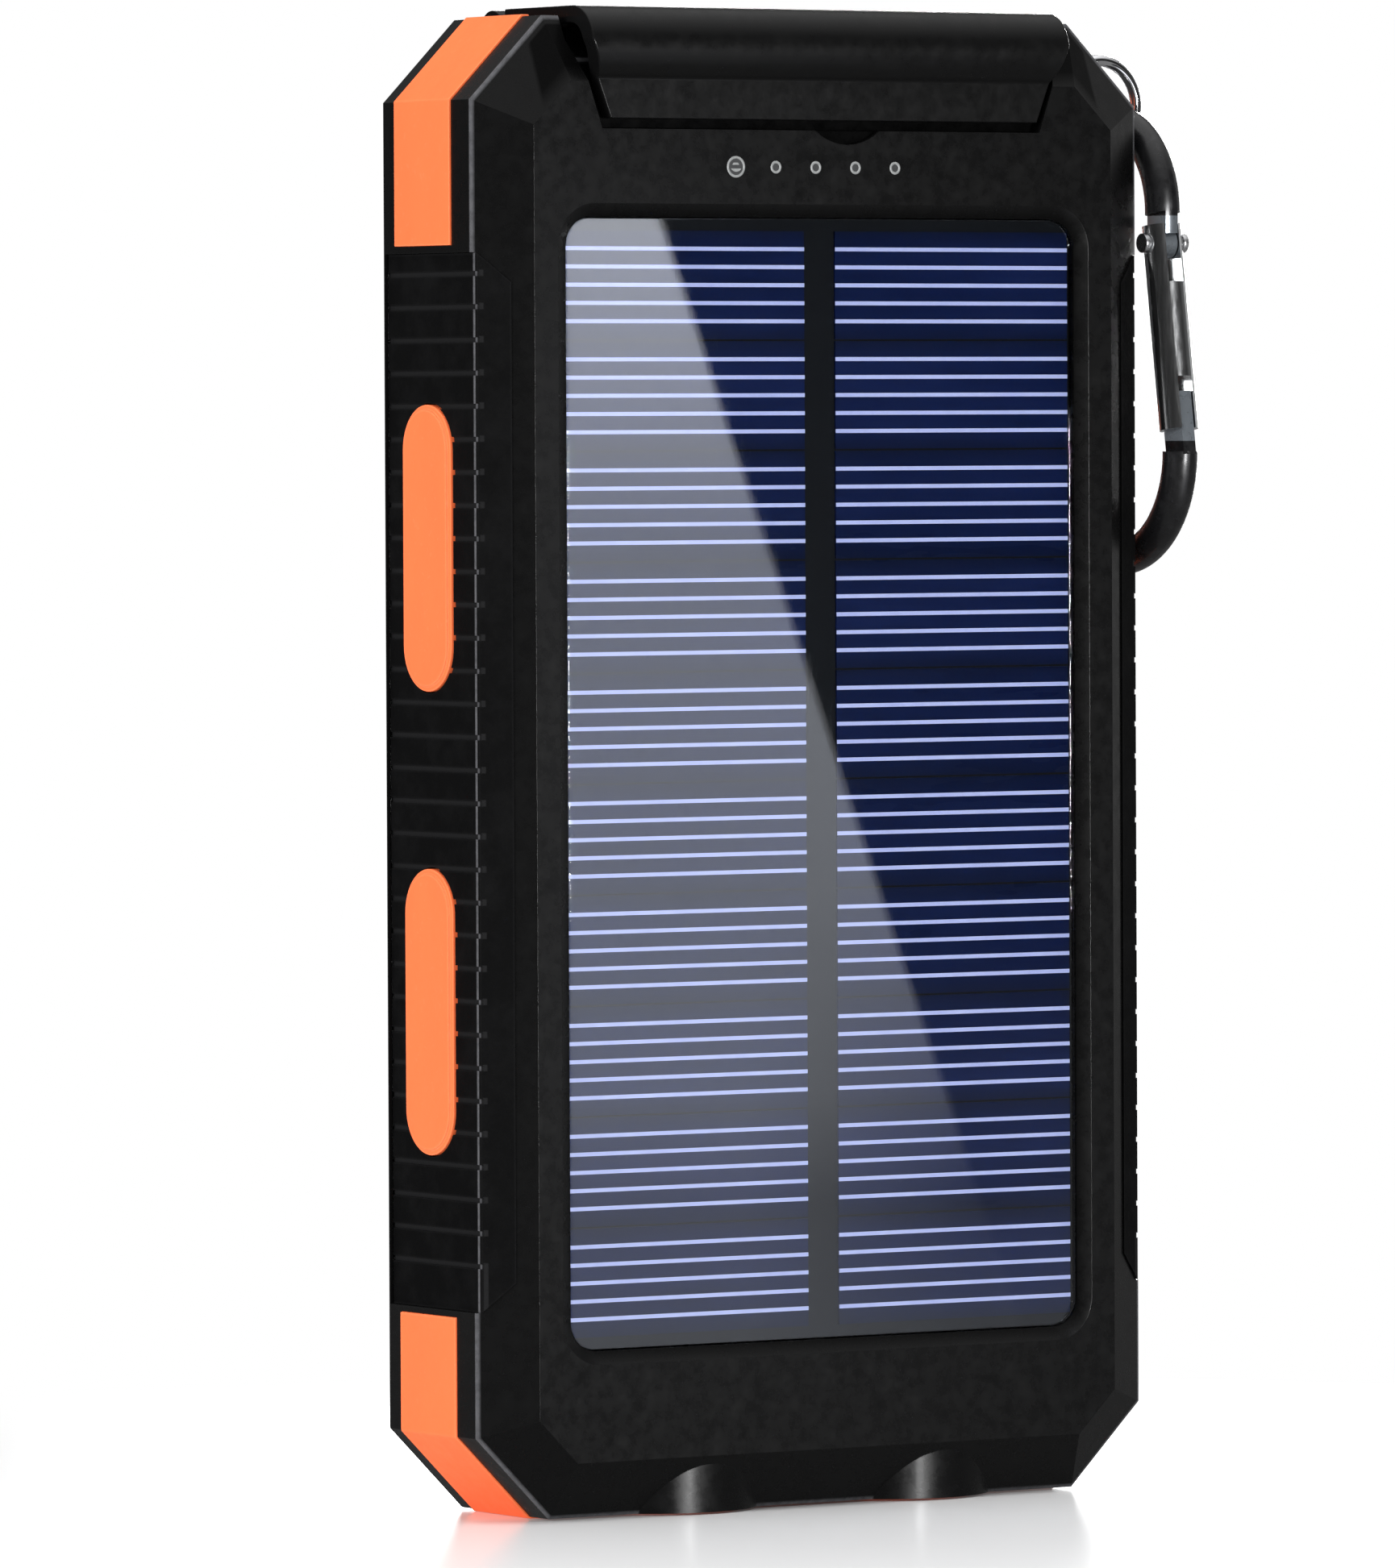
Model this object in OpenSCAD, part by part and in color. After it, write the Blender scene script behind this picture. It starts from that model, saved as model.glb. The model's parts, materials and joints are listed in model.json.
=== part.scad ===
// Solar phone charger: a rugged power bank with a solar panel, two lamps, a compass and a carabiner.
// Z is up along the long axis, the solar face looks along -Y, and the origin is the bottom centre.

/* [Case] */
// Width over the orange trims
body_w = 80; // [79.8:0.1:80.2]
// Height over the orange trims
body_h = 149.5; // [149.3:0.1:149.7]
// 45 degree cut at each corner of the outline
corner = 8.5; // [8.3:0.1:8.7]
// How far the front plateau stands from the middle plane
front_y = 10.9; // [10.8:0.1:11]
// How far the back face stands from the middle plane
back_y = 11.1; // [11:0.1:11.2]
// How far the orange trims stand proud of the black shells
trim_proud = 0.2; // [0.1:0.05:0.4]
// Thickness of the orange trims
trim_t = 1.8; // [1.6:0.1:2]
// Width of the orange trims across the side face
trim_w = 10.5; // [9:0.1:10.6]

/* [Solar panel] */
// Width of the clear panel cover
panel_w = 60.6; // [58:0.2:61]
// Height of the clear panel cover
panel_h = 112.3; // [110:0.1:112.4]
// Height of the panel's lower edge above the bottom
panel_z = 17; // [16.8:0.1:18]
// Cell strips in each column
cell_rows = 10; // [8:1:12]
// Silver finger lines on each cell strip
fingers = 5; // [3:1:6]
// Black gap between the two columns of cells
cell_gap = 3.7; // [3:0.1:5]

/* [Grips] */
// Ribs along each grip
rib_count = 31; // [20:1:31]
// Distance from one rib to the next
rib_pitch = 3.27; // [3:0.01:3.27]
// Height of the groove between two ribs
groove_h = 0.5; // [0.3:0.05:0.7]
// Depth of the groove between two ribs
groove_deep = 0.25; // [0.15:0.05:0.4]
// Length of the orange grip inserts
insert_l = 28.5; // [24:0.5:30]
// Width of the orange grip inserts
insert_w = 9.1; // [7:0.1:9.2]
// Height of the upper inserts' middle
insert_high = 96.6; // [92:0.1:98]
// Height of the lower inserts' middle
insert_low = 50.5; // [48:0.1:54]

/* [Lamps] */
// Distance of each lamp from the middle
lamp_x = 14; // [13:0.5:14.5]
// Radius of the round boss that holds a lamp
boss_r = 10.4; // [10:0.1:10.5]
// Radius of the orange ring round a lamp
lamp_ring_r = 8.2; // [7.4:0.1:8.4]
// Radius of the visible lens
lens_r = 5.5; // [4.6:0.1:5.6]

/* [Port cover] */
// Half width of the cover at its top
cover_top = 28.5; // [28:0.1:29]
// Half width of the cover at its lower edge
cover_low = 25.5; // [25:0.1:26]
// How far the roll stands out in front of the apron
roll_proud = 1.6; // [1.2:0.1:1.8]
// Radius of the hinge barrel
barrel_r = 2.4; // [2.2:0.05:2.45]
// Radius of the hinge pin
pin_r = 0.9; // [0.7:0.05:1]

/* [Compass] */
// Height of the compass centre
compass_z = 134; // [133:0.5:134]
// Outside radius of the compass capsule
capsule_r = 6.9; // [6.5:0.1:6.9]

/* [Lanyard] */
// Radius of the ring's centre line
ring_r = 4.6; // [4.4:0.1:4.7]
// Radius of the ring's wire
ring_wire = 0.6; // [0.5:0.05:0.65]
// Radius of the carabiner's rod
rod_r = 1.8; // [1.6:0.05:1.85]

/* [Hidden] */
$fn = 64;
far = 200;
gap = 0.05;

half_w = body_w / 2;
mid_z = body_h / 2;
shell_half = half_w - trim_proud;
split_y = 0.5;
side_front = -7.5;
side_back = 9;
side_mid = 1.4;
plateau_half = 34.5;
plateau_z0 = 5.9;
plateau_z1 = body_h - 6.7;
plateau_corner = 4.4;
back_half = 37;
back_inset_z = 2.5;

cavity_half = 35.9;
cavity_front = -6.1;
cavity_back = back_y - 2.3;
cavity_z0 = 15;
cavity_z1 = 141;

top_trim_z = 126.6;
low_trim_z = 20.4;
trim_end_x = 30.6;

grip_z0 = 21.1;
grip_z1 = 125.8;
grip_in = 36.5;
grip_face = 39.4;
grip_bed = 37.7;
bevel_slope = (front_y + side_front) / (half_w - plateau_half);
wrap_in = side_front - bevel_slope * (half_w - grip_in);
wrap_face = side_front - bevel_slope * (half_w - grip_face);

panel_y = -front_y + 0.8;
window_slope = 1.75;
column_w = (panel_w - 0.6 - cell_gap) / 2;
column_left = [-panel_w / 2 + 0.3, cell_gap / 2];
cell_pitch = (panel_h - 2.3) / cell_rows;
finger_pitch = cell_pitch * 0.164;
cell_low = panel_z + 1.15;

hinge_y = back_y - 2.7;
hinge_z = body_h - 1.6;
cover_z = hinge_z + barrel_r;
cover_t = 1.7;
cover_low_z = 139.1;
cover_gap = 1;
cover_gap_right = 0.3;
barrel_half = 21.9;
lug_in = 22.3;
lug_out = 27.4;
deck_z = 146.4;
usb_x = 13;
usb_y = -0.35;

plate_face = back_y + 0.4;
plate_floor = back_y - 1;
plate_low_z = 121.5;
plate_low_half = 13.5;
plate_corner_r = 6;

screw_spots = [[29.6, cavity_z1], [31, 11]];

post_x = half_w - 2.1;
post_z = body_h - 7.9;
post_r = 0.9;
ring_dist = ring_r - ring_wire - post_r - gap;
ring_droop = -5.5;
ring_x = post_x + ring_dist * cos(ring_droop);
ring_z = post_z + ring_dist * sin(ring_droop);
slot_r = 5.9;
slot_half = 1.3;

rod_x = half_w + 2.3;
rod_reach = ring_r - ring_wire - rod_r - gap;
rod_hang = ring_z - sqrt(pow(rod_reach, 2) - pow(rod_x - ring_x, 2));
top_arc_r = 9.4;
spine_y = split_y + top_arc_r;
top_arc_y = split_y;
top_arc_z = round((rod_hang - top_arc_r) * 100) / 100;
low_arc_r = 10.9;
low_arc_y = spine_y - low_arc_r;
low_arc_z = 105.8;
pivot_drop = 3.2;
gate_top = [top_arc_y - top_arc_r, top_arc_z - pivot_drop];
gate_low = [low_arc_y - low_arc_r, low_arc_z + 1];
gate_len = norm(gate_top - gate_low);
gate_lean = atan2(gate_low[0] - gate_top[0], gate_top[1] - gate_low[1]);
gate_r = 2;
tongue_t = 1.5;

dot_count = 5;
dot_x = [for (i = [0 : dot_count - 1]) -10.8 + i * 4.75];
dot_z = 134.4;
board_y = 2.4;

// An outline drawn in X and Z, extruded from y0 to y1.
module xz(y0, y1) {
  translate([0, y1, 0]) rotate([90, 0, 0]) linear_extrude(y1 - y0) children();
}

// An outline drawn in Y and Z, extruded from x0 to x1.
module yz(x0, x1) {
  translate([x0, 0, 0]) rotate([90, 0, 90]) linear_extrude(x1 - x0) children();
}

// A box from its lowest corner to its highest corner.
module block(low, high) {
  translate(low) cube(high - low);
}

// A cylinder along Y from y0 to y1, at x and z.
module rod_y(x, z, r, y0, y1) {
  translate([x, y1, z]) rotate([90, 0, 0]) cylinder(r = r, h = y1 - y0);
}

// A cylinder along X from x0 to x1, at y and z.
module rod_x_axis(x0, x1, y, z, r) {
  translate([x0, y, z]) rotate([0, 90, 0]) cylinder(r = r, h = x1 - x0);
}

// The same shape on the left and on the right.
module both_sides() {
  children();
  mirror([1, 0, 0]) children();
}

// A rectangle with its four corners cut at 45 degrees.
module cut_corners(half, z0, z1, c) {
  polygon([
    [-half + c, z0], [half - c, z0], [half, z0 + c], [half, z1 - c],
    [half - c, z1], [-half + c, z1], [-half, z1 - c], [-half, z0 + c]
  ]);
}

// The case outline moved inward by t, with the same wall on its cut corners.
module case_outline(t) {
  cut_corners(half_w - t, t, body_h - t, corner - t * (2 - sqrt(2)));
}

module rounded_rect(w, z0, z1, r) {
  union() {
    translate([-w / 2 + r, z0]) square([w - 2 * r, z1 - z0]);
    translate([-w / 2, z0 + r]) square([w, z1 - z0 - 2 * r]);
    for (x = [-w / 2 + r, w / 2 - r], z = [z0 + r, z1 - r]) translate([x, z]) circle(r);
  }
}

// A slot with round ends, upright in Y and Z, extruded along X.
module slot_x(x0, x1, z, w, l) {
  block([x0, side_mid - w / 2, z - (l - w) / 2], [x1, side_mid + w / 2, z + (l - w) / 2]);
  for (s = [-1, 1]) rod_x_axis(x0, x1, side_mid, z + s * (l - w) / 2, w / 2);
}

// A wire through a list of points, each stretch a little longer than its ends so that the bends join.
module wire(points, r) {
  for (i = [0 : len(points) - 2]) {
    d = points[i + 1] - points[i];
    translate(points[i]) rotate([0, acos(d[2] / norm(d)), atan2(d[1], d[0])])
      translate([0, 0, -r / 2]) cylinder(r = r, h = norm(d) + r, $fn = 8);
  }
}

// ---------- Case ----------

// Outer skin of both shells: plateau, side band and back face in one closed shape.
module envelope() {
  hull() {
    xz(-front_y, -front_y + 0.1)
      cut_corners(plateau_half, plateau_z0, plateau_z1, plateau_corner);
    xz(side_front, side_back)
      case_outline(trim_proud);
    xz(back_y - 0.1, back_y)
      cut_corners(back_half, back_inset_z, body_h - back_inset_z, corner - 1);
  }
}

module lamp_bosses() {
  both_sides() translate([lamp_x, 0, trim_proud]) cylinder(r = boss_r, h = cavity_z0);
}

// The band between the outline and the same outline moved inward by t, as wide as w.
module band(t, w) {
  difference() {
    xz(side_mid - w / 2, side_mid + w / 2) case_outline(0);
    xz(side_mid - w, side_mid + w) case_outline(t);
  }
}

module band_bottom(t, w, z1, ring_r) {
  intersection() {
    band(t, w);
    block([-far, -far, -1], [far, far, z1]);
  }
  both_sides() translate([lamp_x, 0, 0]) cylinder(r = ring_r, h = t);
}

module band_top_left(t, w, play) {
  intersection() {
    band(t, w);
    block([-far, -far, top_trim_z - play], [-trim_end_x + play, far, far]);
  }
}

// Black island in the right trim that carries the lanyard post.
module lanyard_island(r, half) {
  rod_y(post_x, post_z, r, split_y - half, split_y + half);
}

module trim_beds() {
  band_bottom(trim_t + 0.02, trim_w + 2 * gap, low_trim_z + gap, lamp_ring_r + gap);
  band_top_left(trim_t + 0.02, trim_w + 2 * gap, gap);
  difference() {
    mirror([1, 0, 0]) band_top_left(trim_t + 0.02, trim_w + 2 * gap, gap);
    lanyard_island(slot_r + 0.8, 3.4);
  }
}

// Cross section of a grip in X and Y, for the right side.
module grip_section(play) {
  polygon([
    [grip_in - play, wrap_in - 0.15 - play], [grip_face + play, wrap_face - 0.15 - play],
    [grip_face + play, side_back - 0.2 + play], [back_half + play, back_y + 0.1 + play],
    [grip_in - play, back_y + 0.1 + play], [grip_in - play, back_y - 1.6 - play],
    [grip_bed - play, side_back - 0.9 - play], [grip_bed - play, side_front + 0.3 + play],
    [grip_in - play, wrap_in + 1.4 + play]
  ]);
}

// Side view of a grip: its wraps end at a slant on the front and the back.
module grip_side_view(play) {
  polygon([
    [grip_face + 1, grip_z0 - 1 - play], [grip_face + 1, grip_z1 + 1 + play],
    [grip_in - 0.1 - play, grip_z1 - 3 + play], [grip_in - 0.1 - play, grip_z0 + 3 - play]
  ]);
}

module grip_body(play) {
  intersection() {
    translate([0, 0, grip_z0 - play])
      linear_extrude(grip_z1 - grip_z0 + 2 * play) grip_section(play);
    xz(-far, far) grip_side_view(play);
  }
}

// Material missing outside the grip's own section, so that the shell ends behind the grip.
module grip_bed_cut() {
  grip_body(gap);
  translate([0, 0, grip_z0 - gap])
    linear_extrude(grip_z1 - grip_z0 + 2 * gap)
      polygon([
        [grip_face, wrap_face], [far, wrap_face], [far, side_back - 0.2], [grip_face, side_back - 0.2]
      ]);
}

module cavity() {
  difference() {
    xz(cavity_front, cavity_back) polygon([
      [-cavity_half + 10, cavity_z0], [cavity_half - 10, cavity_z0],
      [cavity_half, cavity_z0 + 10], [cavity_half, cavity_z1 - 12],
      [cavity_half - 12, cavity_z1], [-cavity_half + 12, cavity_z1],
      [-cavity_half, cavity_z1 - 12], [-cavity_half, cavity_z0 + 10]
    ]);
    // wall of the compass well
    rod_y(0, compass_z, capsule_r + 1.6, back_y - 5.6, far);
    // feet of the main board
    both_sides() rod_y(19.5, 111, 2.2, board_y + 1.22, far);
    // cradle of the tact switch
    block([31, split_y + 3.02, insert_high - 3], [34.3, far, insert_high + 3]);
  }
  block([-22.5, -4.2, cavity_z1 - 1], [22.5, 3.7, deck_z - 1.8]);
  block([-28, -front_y + 1.8, 131.8], [28, cavity_front + 1, 138]);
  block([-3.4, cavity_front, 3.8], [3.4, 6, cavity_z0 + 1]);
  both_sides() translate([lamp_x, 0, trim_t]) cylinder(r = 6.4, h = cavity_z0);
}

// Side profile, in Y and Z, of everything the port cover needs clear.
module cover_clearance() {
  polygon([
    [-20, cover_low_z - cover_gap], [-front_y + 1.8, cover_low_z - cover_gap],
    [-front_y + 1.8, deck_z - 3.2], [-6.2, deck_z],
    [hinge_y - 3.4, deck_z], [hinge_y - 3.4, 160], [-20, 160]
  ]);
}

// Front view of the port cover, with side edges that lean inward towards the lower edge.
module cover_front_view(play, right_play) {
  polygon([
    [-cover_low - play, cover_low_z - play], [cover_low + right_play, cover_low_z - play],
    [cover_top + right_play, hinge_z - 1], [cover_top + right_play, 160],
    [-cover_top - play, 160], [-cover_top - play, hinge_z - 1]
  ]);
}

module port_holes() {
  both_sides()
    block([usb_x - 6.6, usb_y - 2.75, cavity_z1], [usb_x + 6.6, usb_y + 2.75, deck_z + 1]);
  block([-3.9, -0.6, cavity_z1], [3.9, 2.4, deck_z + 1]);
}

module screw_wells() {
  both_sides() for (p = screw_spots) {
    rod_y(p[0], p[1], 1.02, -5.3, far);
    rod_y(p[0], p[1], 2.05, back_y - 3.35, far);
  }
}

// Trapezoid of the compass plate, in X and Z, with a round corner at each lower end.
module plate_outline(grow) {
  r = plate_corner_r + grow;
  z0 = plate_low_z - grow;
  slope = (lug_out - plate_low_half) / (body_h - plate_low_z);
  corner_x = plate_low_half - 3;
  difference() {
    polygon([
      [-plate_low_half - grow * 1.2, z0], [plate_low_half + grow * 1.2, z0],
      [lug_out + grow * 1.2 + slope * grow, body_h + 2], [-lug_out - grow * 1.2 - slope * grow, body_h + 2]
    ]);
    for (s = [-1, 1]) difference() {
      translate([s * (corner_x + far / 2), z0]) square([far, 2 * (r - 2.2)], center = true);
      translate([s * corner_x, z0 + r]) circle(r);
    }
  }
}

// Long finger recess on the back, round at both ends.
module back_recess() {
  for (z = [18, 132]) rod_y(30.2, z, 1.5, back_y - 0.6, far);
  block([28.7, back_y - 0.6, 18], [31.7, far, 132]);
}

module case_solid() {
  difference() {
    union() {
      envelope();
      lamp_bosses();
    }
    cavity();
    trim_beds();
    both_sides() grip_bed_cut();
    rod_x_axis(cavity_half - 1, far, split_y, insert_high, 1.86);
    intersection() {
      yz(-far, far) cover_clearance();
      xz(-far, far) cover_front_view(cover_gap, cover_gap_right);
    }
    block([-lug_in + 0.1, hinge_y - 3.5, hinge_z - 3], [lug_in - 0.1, far, far]);
    port_holes();
    screw_wells();
    seal_path(0.02);
    both_sides() rod_y(19.5, 111, 0.82, board_y + 1, board_y + 5.1);
    // lanyard slot and its post hole
    rod_y(post_x, post_z, slot_r, split_y - slot_half, split_y + slot_half);
    rod_y(post_x, post_z, post_r + 0.02, split_y - 3, split_y + 3);
  }
}

// Sloped edge round the panel's opening: flat sides, and a cone at each corner.
module window_chamfer() {
  y0 = -front_y - 0.4;
  y1 = panel_y - 0.05;
  r = 3;
  grow = (y1 - y0) * window_slope;
  half = panel_w / 2 + 0.1;
  z0 = panel_z - 0.1;
  z1 = panel_z + panel_h + 0.1;
  translate([0, 0, z0 + r]) linear_extrude(z1 - z0 - 2 * r)
    polygon([[-half, y1], [half, y1], [half + grow, y0], [-half - grow, y0]]);
  yz(-half + r, half - r) polygon([[y1, z0], [y1, z1], [y0, z1 + grow], [y0, z0 - grow]]);
  for (x = [-half + r, half - r], z = [z0 + r, z1 - r])
    translate([x, y1, z]) rotate([90, 0, 0]) cylinder(r1 = r, r2 = r + grow, h = y1 - y0);
}

module front_shell() color([0.14, 0.14, 0.14]) difference() {
  intersection() {
    case_solid();
    block([-far, -far, -far], [far, split_y, far]);
  }
  // opening of the solar panel
  window_chamfer();
  xz(-far, panel_y + 1.95) rounded_rect(panel_w + 0.2, panel_z - 0.1, panel_z + panel_h + 0.1, 3);
  rod_y(-9, 122, 2.5, -far, 0);
  // light guide holes
  for (i = [0 : dot_count - 1]) rod_y(dot_x[i], dot_z, i == 0 ? 1.03 : 0.63, -far, 0);
  // thumb notch under the port cover
  rod_y(2.5, cover_low_z + 3.6, 6, -far, -front_y + 0.9);
}

module rear_shell() color([0.12, 0.12, 0.12]) difference() {
  intersection() {
    case_solid();
    block([-far, split_y, -far], [far, far, far]);
  }
  xz(plate_floor, far) plate_outline(1.2);
  both_sides() back_recess();
  rod_y(0, compass_z, capsule_r + 0.1, back_y - 4.6, far);
  // beds of the hinge lugs
  both_sides() block([lug_in - 0.1, hinge_y - 2.5, 143.4], [lug_out + 0.1, far, far]);
}

// Path of the seal cords in the parting plane, cut away where lamps, screws and the switch pass.
module seal_path(play) {
  difference() {
    xz(split_y - 0.4 - play, split_y + 0.4 + play) difference() {
      case_outline(3.1 - play);
      case_outline(3.7 + play);
    }
    block([-far, -far, 124 + play], [far, far, far]);
    both_sides() translate([lamp_x, 0, -1]) cylinder(r = 8 - play, h = 30);
    both_sides() rod_y(31, 11, 3 - play, -5, 5);
    rod_x_axis(30, 45, split_y, insert_high, 3 - play);
  }
}

module case_seals() color([0.2, 0.2, 0.2]) seal_path(0);

// ---------- Solar panel ----------

module solar_cover() color([0.35, 0.4, 0.55, 0.4])
  xz(panel_y, panel_y + 0.54) rounded_rect(panel_w, panel_z, panel_z + panel_h, 2.8);

module solar_cells() color([0.06, 0.1, 0.28])
  for (x = column_left, i = [0 : cell_rows - 1])
    translate([x, panel_y + 0.6, cell_low + i * cell_pitch + 0.1]) cube([column_w, 0.2, cell_pitch - 0.2]);

module cell_fingers() color([0.8, 0.83, 0.95])
  for (x = column_left, i = [0 : cell_rows - 1], j = [0 : fingers - 1])
    translate([
      x, panel_y + 0.55,
      cell_low + (i + 0.5) * cell_pitch + (j - (fingers - 1) / 2) * finger_pitch - 0.2
    ]) cube([column_w, 0.04, 0.4]);

module solar_backing() color([0.05, 0.05, 0.06])
  xz(panel_y + 0.81, panel_y + 1.7) rounded_rect(panel_w, panel_z, panel_z + panel_h, 2.8);

module panel_adhesive() color([0.75, 0.75, 0.72]) difference() {
  xz(panel_y + 1.72, panel_y + 1.93) rounded_rect(panel_w - 2, panel_z + 1, panel_z + panel_h - 1, 2);
  xz(-far, far) rounded_rect(panel_w - 12, panel_z + 6, panel_z + panel_h - 6, 2);
}

module solar_leads() color([0.7, 0.1, 0.1])
  for (s = [-1, 1])
    wire([
      [-9 + s, panel_y + 1.9, 122], [-9 + s, -5.4, 122],
      [-16 + s, -3, 116], [-16 + s, board_y - 0.34, 114]
    ], 0.35);

// ---------- Orange trims and grips ----------

module corner_trim_left() color([1, 0.5, 0.27]) band_top_left(trim_t, trim_w, 0);

module corner_trim_right() color([1, 0.5, 0.27]) difference() {
  mirror([1, 0, 0]) band_top_left(trim_t, trim_w, 0);
  lanyard_island(slot_r + 0.85, 3.45);
}

module bottom_band() color([1, 0.5, 0.27]) difference() {
  band_bottom(trim_t, trim_w, low_trim_z, lamp_ring_r);
  both_sides() translate([lamp_x, 0, -1]) cylinder(r = lens_r + 0.1, h = 5);
}

// A grip for the right side, with rib grooves and two openings for the inserts.
module grip() {
  difference() {
    grip_body(0);
    for (z = [insert_high, insert_low]) slot_x(30, far, z, insert_w + 0.3, insert_l + 0.3);
    for (i = [0 : rib_count - 1]) {
      z = grip_z0 + 4.3 + i * rib_pitch;
      block([grip_face - groove_deep, -far, z], [far, far, z + groove_h]);
    }
  }
}

module grip_left() color([0.1, 0.1, 0.1]) mirror([1, 0, 0]) grip();
module grip_right() color([0.1, 0.1, 0.1]) grip();

module insert(z) {
  slot_x(grip_bed + 0.05, grip_face + 0.2, z, insert_w, insert_l);
  slot_x(grip_bed + 0.05, grip_face + 0.45, z, insert_w - 1, insert_l - 1);
}

module grip_inserts() color([1, 0.5, 0.27]) {
  mirror([1, 0, 0]) insert(insert_high);
  mirror([1, 0, 0]) insert(insert_low);
  insert(insert_low);
}

module power_button() color([1, 0.5, 0.27]) {
  slot_x(grip_bed + 0.6, grip_face + 0.2, insert_high, insert_w - 0.1, insert_l - 0.1);
  slot_x(grip_bed + 0.6, grip_face + 0.45, insert_high, insert_w - 1, insert_l - 1);
  rod_x_axis(34.9, grip_bed + 1, split_y, insert_high, 1.8);
  rod_x_axis(35.2, 35.8, split_y, insert_high, 2.8);
}

module switch_plunger() color([0.15, 0.15, 0.15])
  rod_x_axis(32.9, 34.88, split_y, insert_high, 1.5);

module tact_switch() color([0.7, 0.7, 0.72]) difference() {
  block([31.05, split_y - 3, insert_high - 3], [34.3, split_y + 3, insert_high + 3]);
  rod_x_axis(32.3, 35, split_y, insert_high, 1.56);
}

// ---------- Port cover ----------

// Side profile of the cover, in Y and Z: top plate, rolled front and flat apron.
module cover_profile() {
  top = cover_z;
  nose = -front_y - roll_proud;
  roll_z = top - 4;
  difference() {
    union() {
      translate([nose + 4, roll_z]) circle(4);
      polygon([[nose + 4, top], [hinge_y, top], [hinge_y, top - 3], [nose + 4, roll_z]]);
      polygon([
        [-front_y, roll_z], [nose + 4, roll_z], [nose + 4, cover_low_z], [-front_y, cover_low_z]
      ]);
    }
    translate([nose + 4.4, roll_z - 0.1]) circle(2.4);
    polygon([
      [nose + 4.4, top - cover_t], [hinge_y + 1, top - cover_t], [hinge_y + 1, 130],
      [-front_y + 1.5, 130], [-front_y + 1.5, 142.6], [nose + 2, roll_z - 0.1], [nose + 4.4, roll_z - 0.1]
    ]);
  }
}

module port_cover() color([0.13, 0.13, 0.13]) difference() {
  union() {
    intersection() {
      yz(-far, far) cover_profile();
      xz(-far, far) cover_front_view(0, 0);
      union() {
        block([-far, -far, 0], [far, hinge_y - 4.2, far]);
        block([-barrel_half, 0, 0], [barrel_half, far, far]);
      }
    }
    rod_x_axis(-barrel_half, barrel_half, hinge_y, hinge_z, barrel_r);
  }
  rod_x_axis(-far, far, hinge_y, hinge_z, pin_r + 0.06);
}

module port_seal() color([0.22, 0.22, 0.22]) {
  block([-22, -5, deck_z + 0.1], [22, 3, cover_z - cover_t - 0.02]);
  both_sides() block([usb_x - 5.3, usb_y - 1.3, deck_z - 1], [usb_x + 5.3, usb_y + 1.3, deck_z + 0.2]);
}

module hinge_pin() color([0.75, 0.75, 0.76])
  rod_x_axis(-lug_out + 0.6, lug_out - 0.6, hinge_y, hinge_z, pin_r);

// ---------- Compass ----------

module compass_plate() color([0.13, 0.13, 0.13]) difference() {
  union() {
    difference() {
      xz(plate_floor, plate_face) plate_outline(0);
      block([-lug_in, 0, hinge_z - 3], [lug_in, far, far]);
      block([-far, 0, hinge_z], [far, far, far]);
      both_sides() block([lug_out, 0, 143], [far, far, far]);
    }
    both_sides() {
      rod_x_axis(lug_in, lug_out, hinge_y, hinge_z, barrel_r);
      block([lug_in, hinge_y - barrel_r, 143.5], [lug_out, plate_face, hinge_z]);
    }
  }
  rod_y(0, compass_z, capsule_r + 0.1, 0, far);
  both_sides() rod_x_axis(lug_in - 1, lug_out - 0.6, hinge_y, hinge_z, pin_r + 0.02);
}

module compass_capsule() color([0.08, 0.08, 0.09]) difference() {
  rod_y(0, compass_z, capsule_r, back_y - 4.55, back_y - 1.15);
  rod_y(0, compass_z, capsule_r - 0.9, back_y - 3.8, far);
}

module compass_pivot() color([0.75, 0.68, 0.45]) rod_y(0, compass_z, 0.5, back_y - 3.78, back_y - 1.25);

module compass_card() color([0.1, 0.1, 0.12]) difference() {
  union() {
    rod_y(0, compass_z, 5.5, back_y - 2.2, back_y - 1.8);
    rod_y(0, compass_z, 1.3, back_y - 2.9, back_y - 1.4);
  }
  rod_y(0, compass_z, 0.56, 0, far);
}

module compass_lens() color([0.8, 0.85, 0.9, 0.3])
  rod_y(0, compass_z, capsule_r - 0.05, back_y - 1.1, back_y - 0.6);

module compass_scale_ring() color([0.08, 0.08, 0.08]) difference() {
  rod_y(0, compass_z, capsule_r, back_y - 0.58, back_y + 0.7);
  rod_y(0, compass_z, 5.8, 0, far);
}

// ---------- Fasteners ----------

module case_screws() color([0.5, 0.5, 0.52])
  both_sides() for (p = screw_spots) difference() {
    union() {
      rod_y(p[0], p[1], 1, -5, back_y - 3.1);
      rod_y(p[0], p[1], 1.9, back_y - 3.3, back_y - 2);
    }
    block([p[0] - 1.2, back_y - 2.6, p[1] - 0.25], [p[0] + 1.2, back_y, p[1] + 0.25]);
    block([p[0] - 0.25, back_y - 2.6, p[1] - 1.2], [p[0] + 0.25, back_y, p[1] + 1.2]);
  }

module screw_plugs() color([0.12, 0.12, 0.12])
  both_sides() for (p = screw_spots) rod_y(p[0], p[1], 1.98, back_y - 1.7, back_y - 0.15);

module board_screws() color([0.75, 0.75, 0.76])
  both_sides() {
    rod_y(19.5, 111, 1.8, board_y - 1.1, board_y - 0.02);
    rod_y(19.5, 111, 0.8, board_y - 0.1, board_y + 5);
  }

// ---------- Lanyard and carabiner ----------

module lanyard_post() color([0.75, 0.75, 0.76])
  rod_y(post_x, post_z, post_r, split_y - 2.9, split_y + 2.9);

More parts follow.
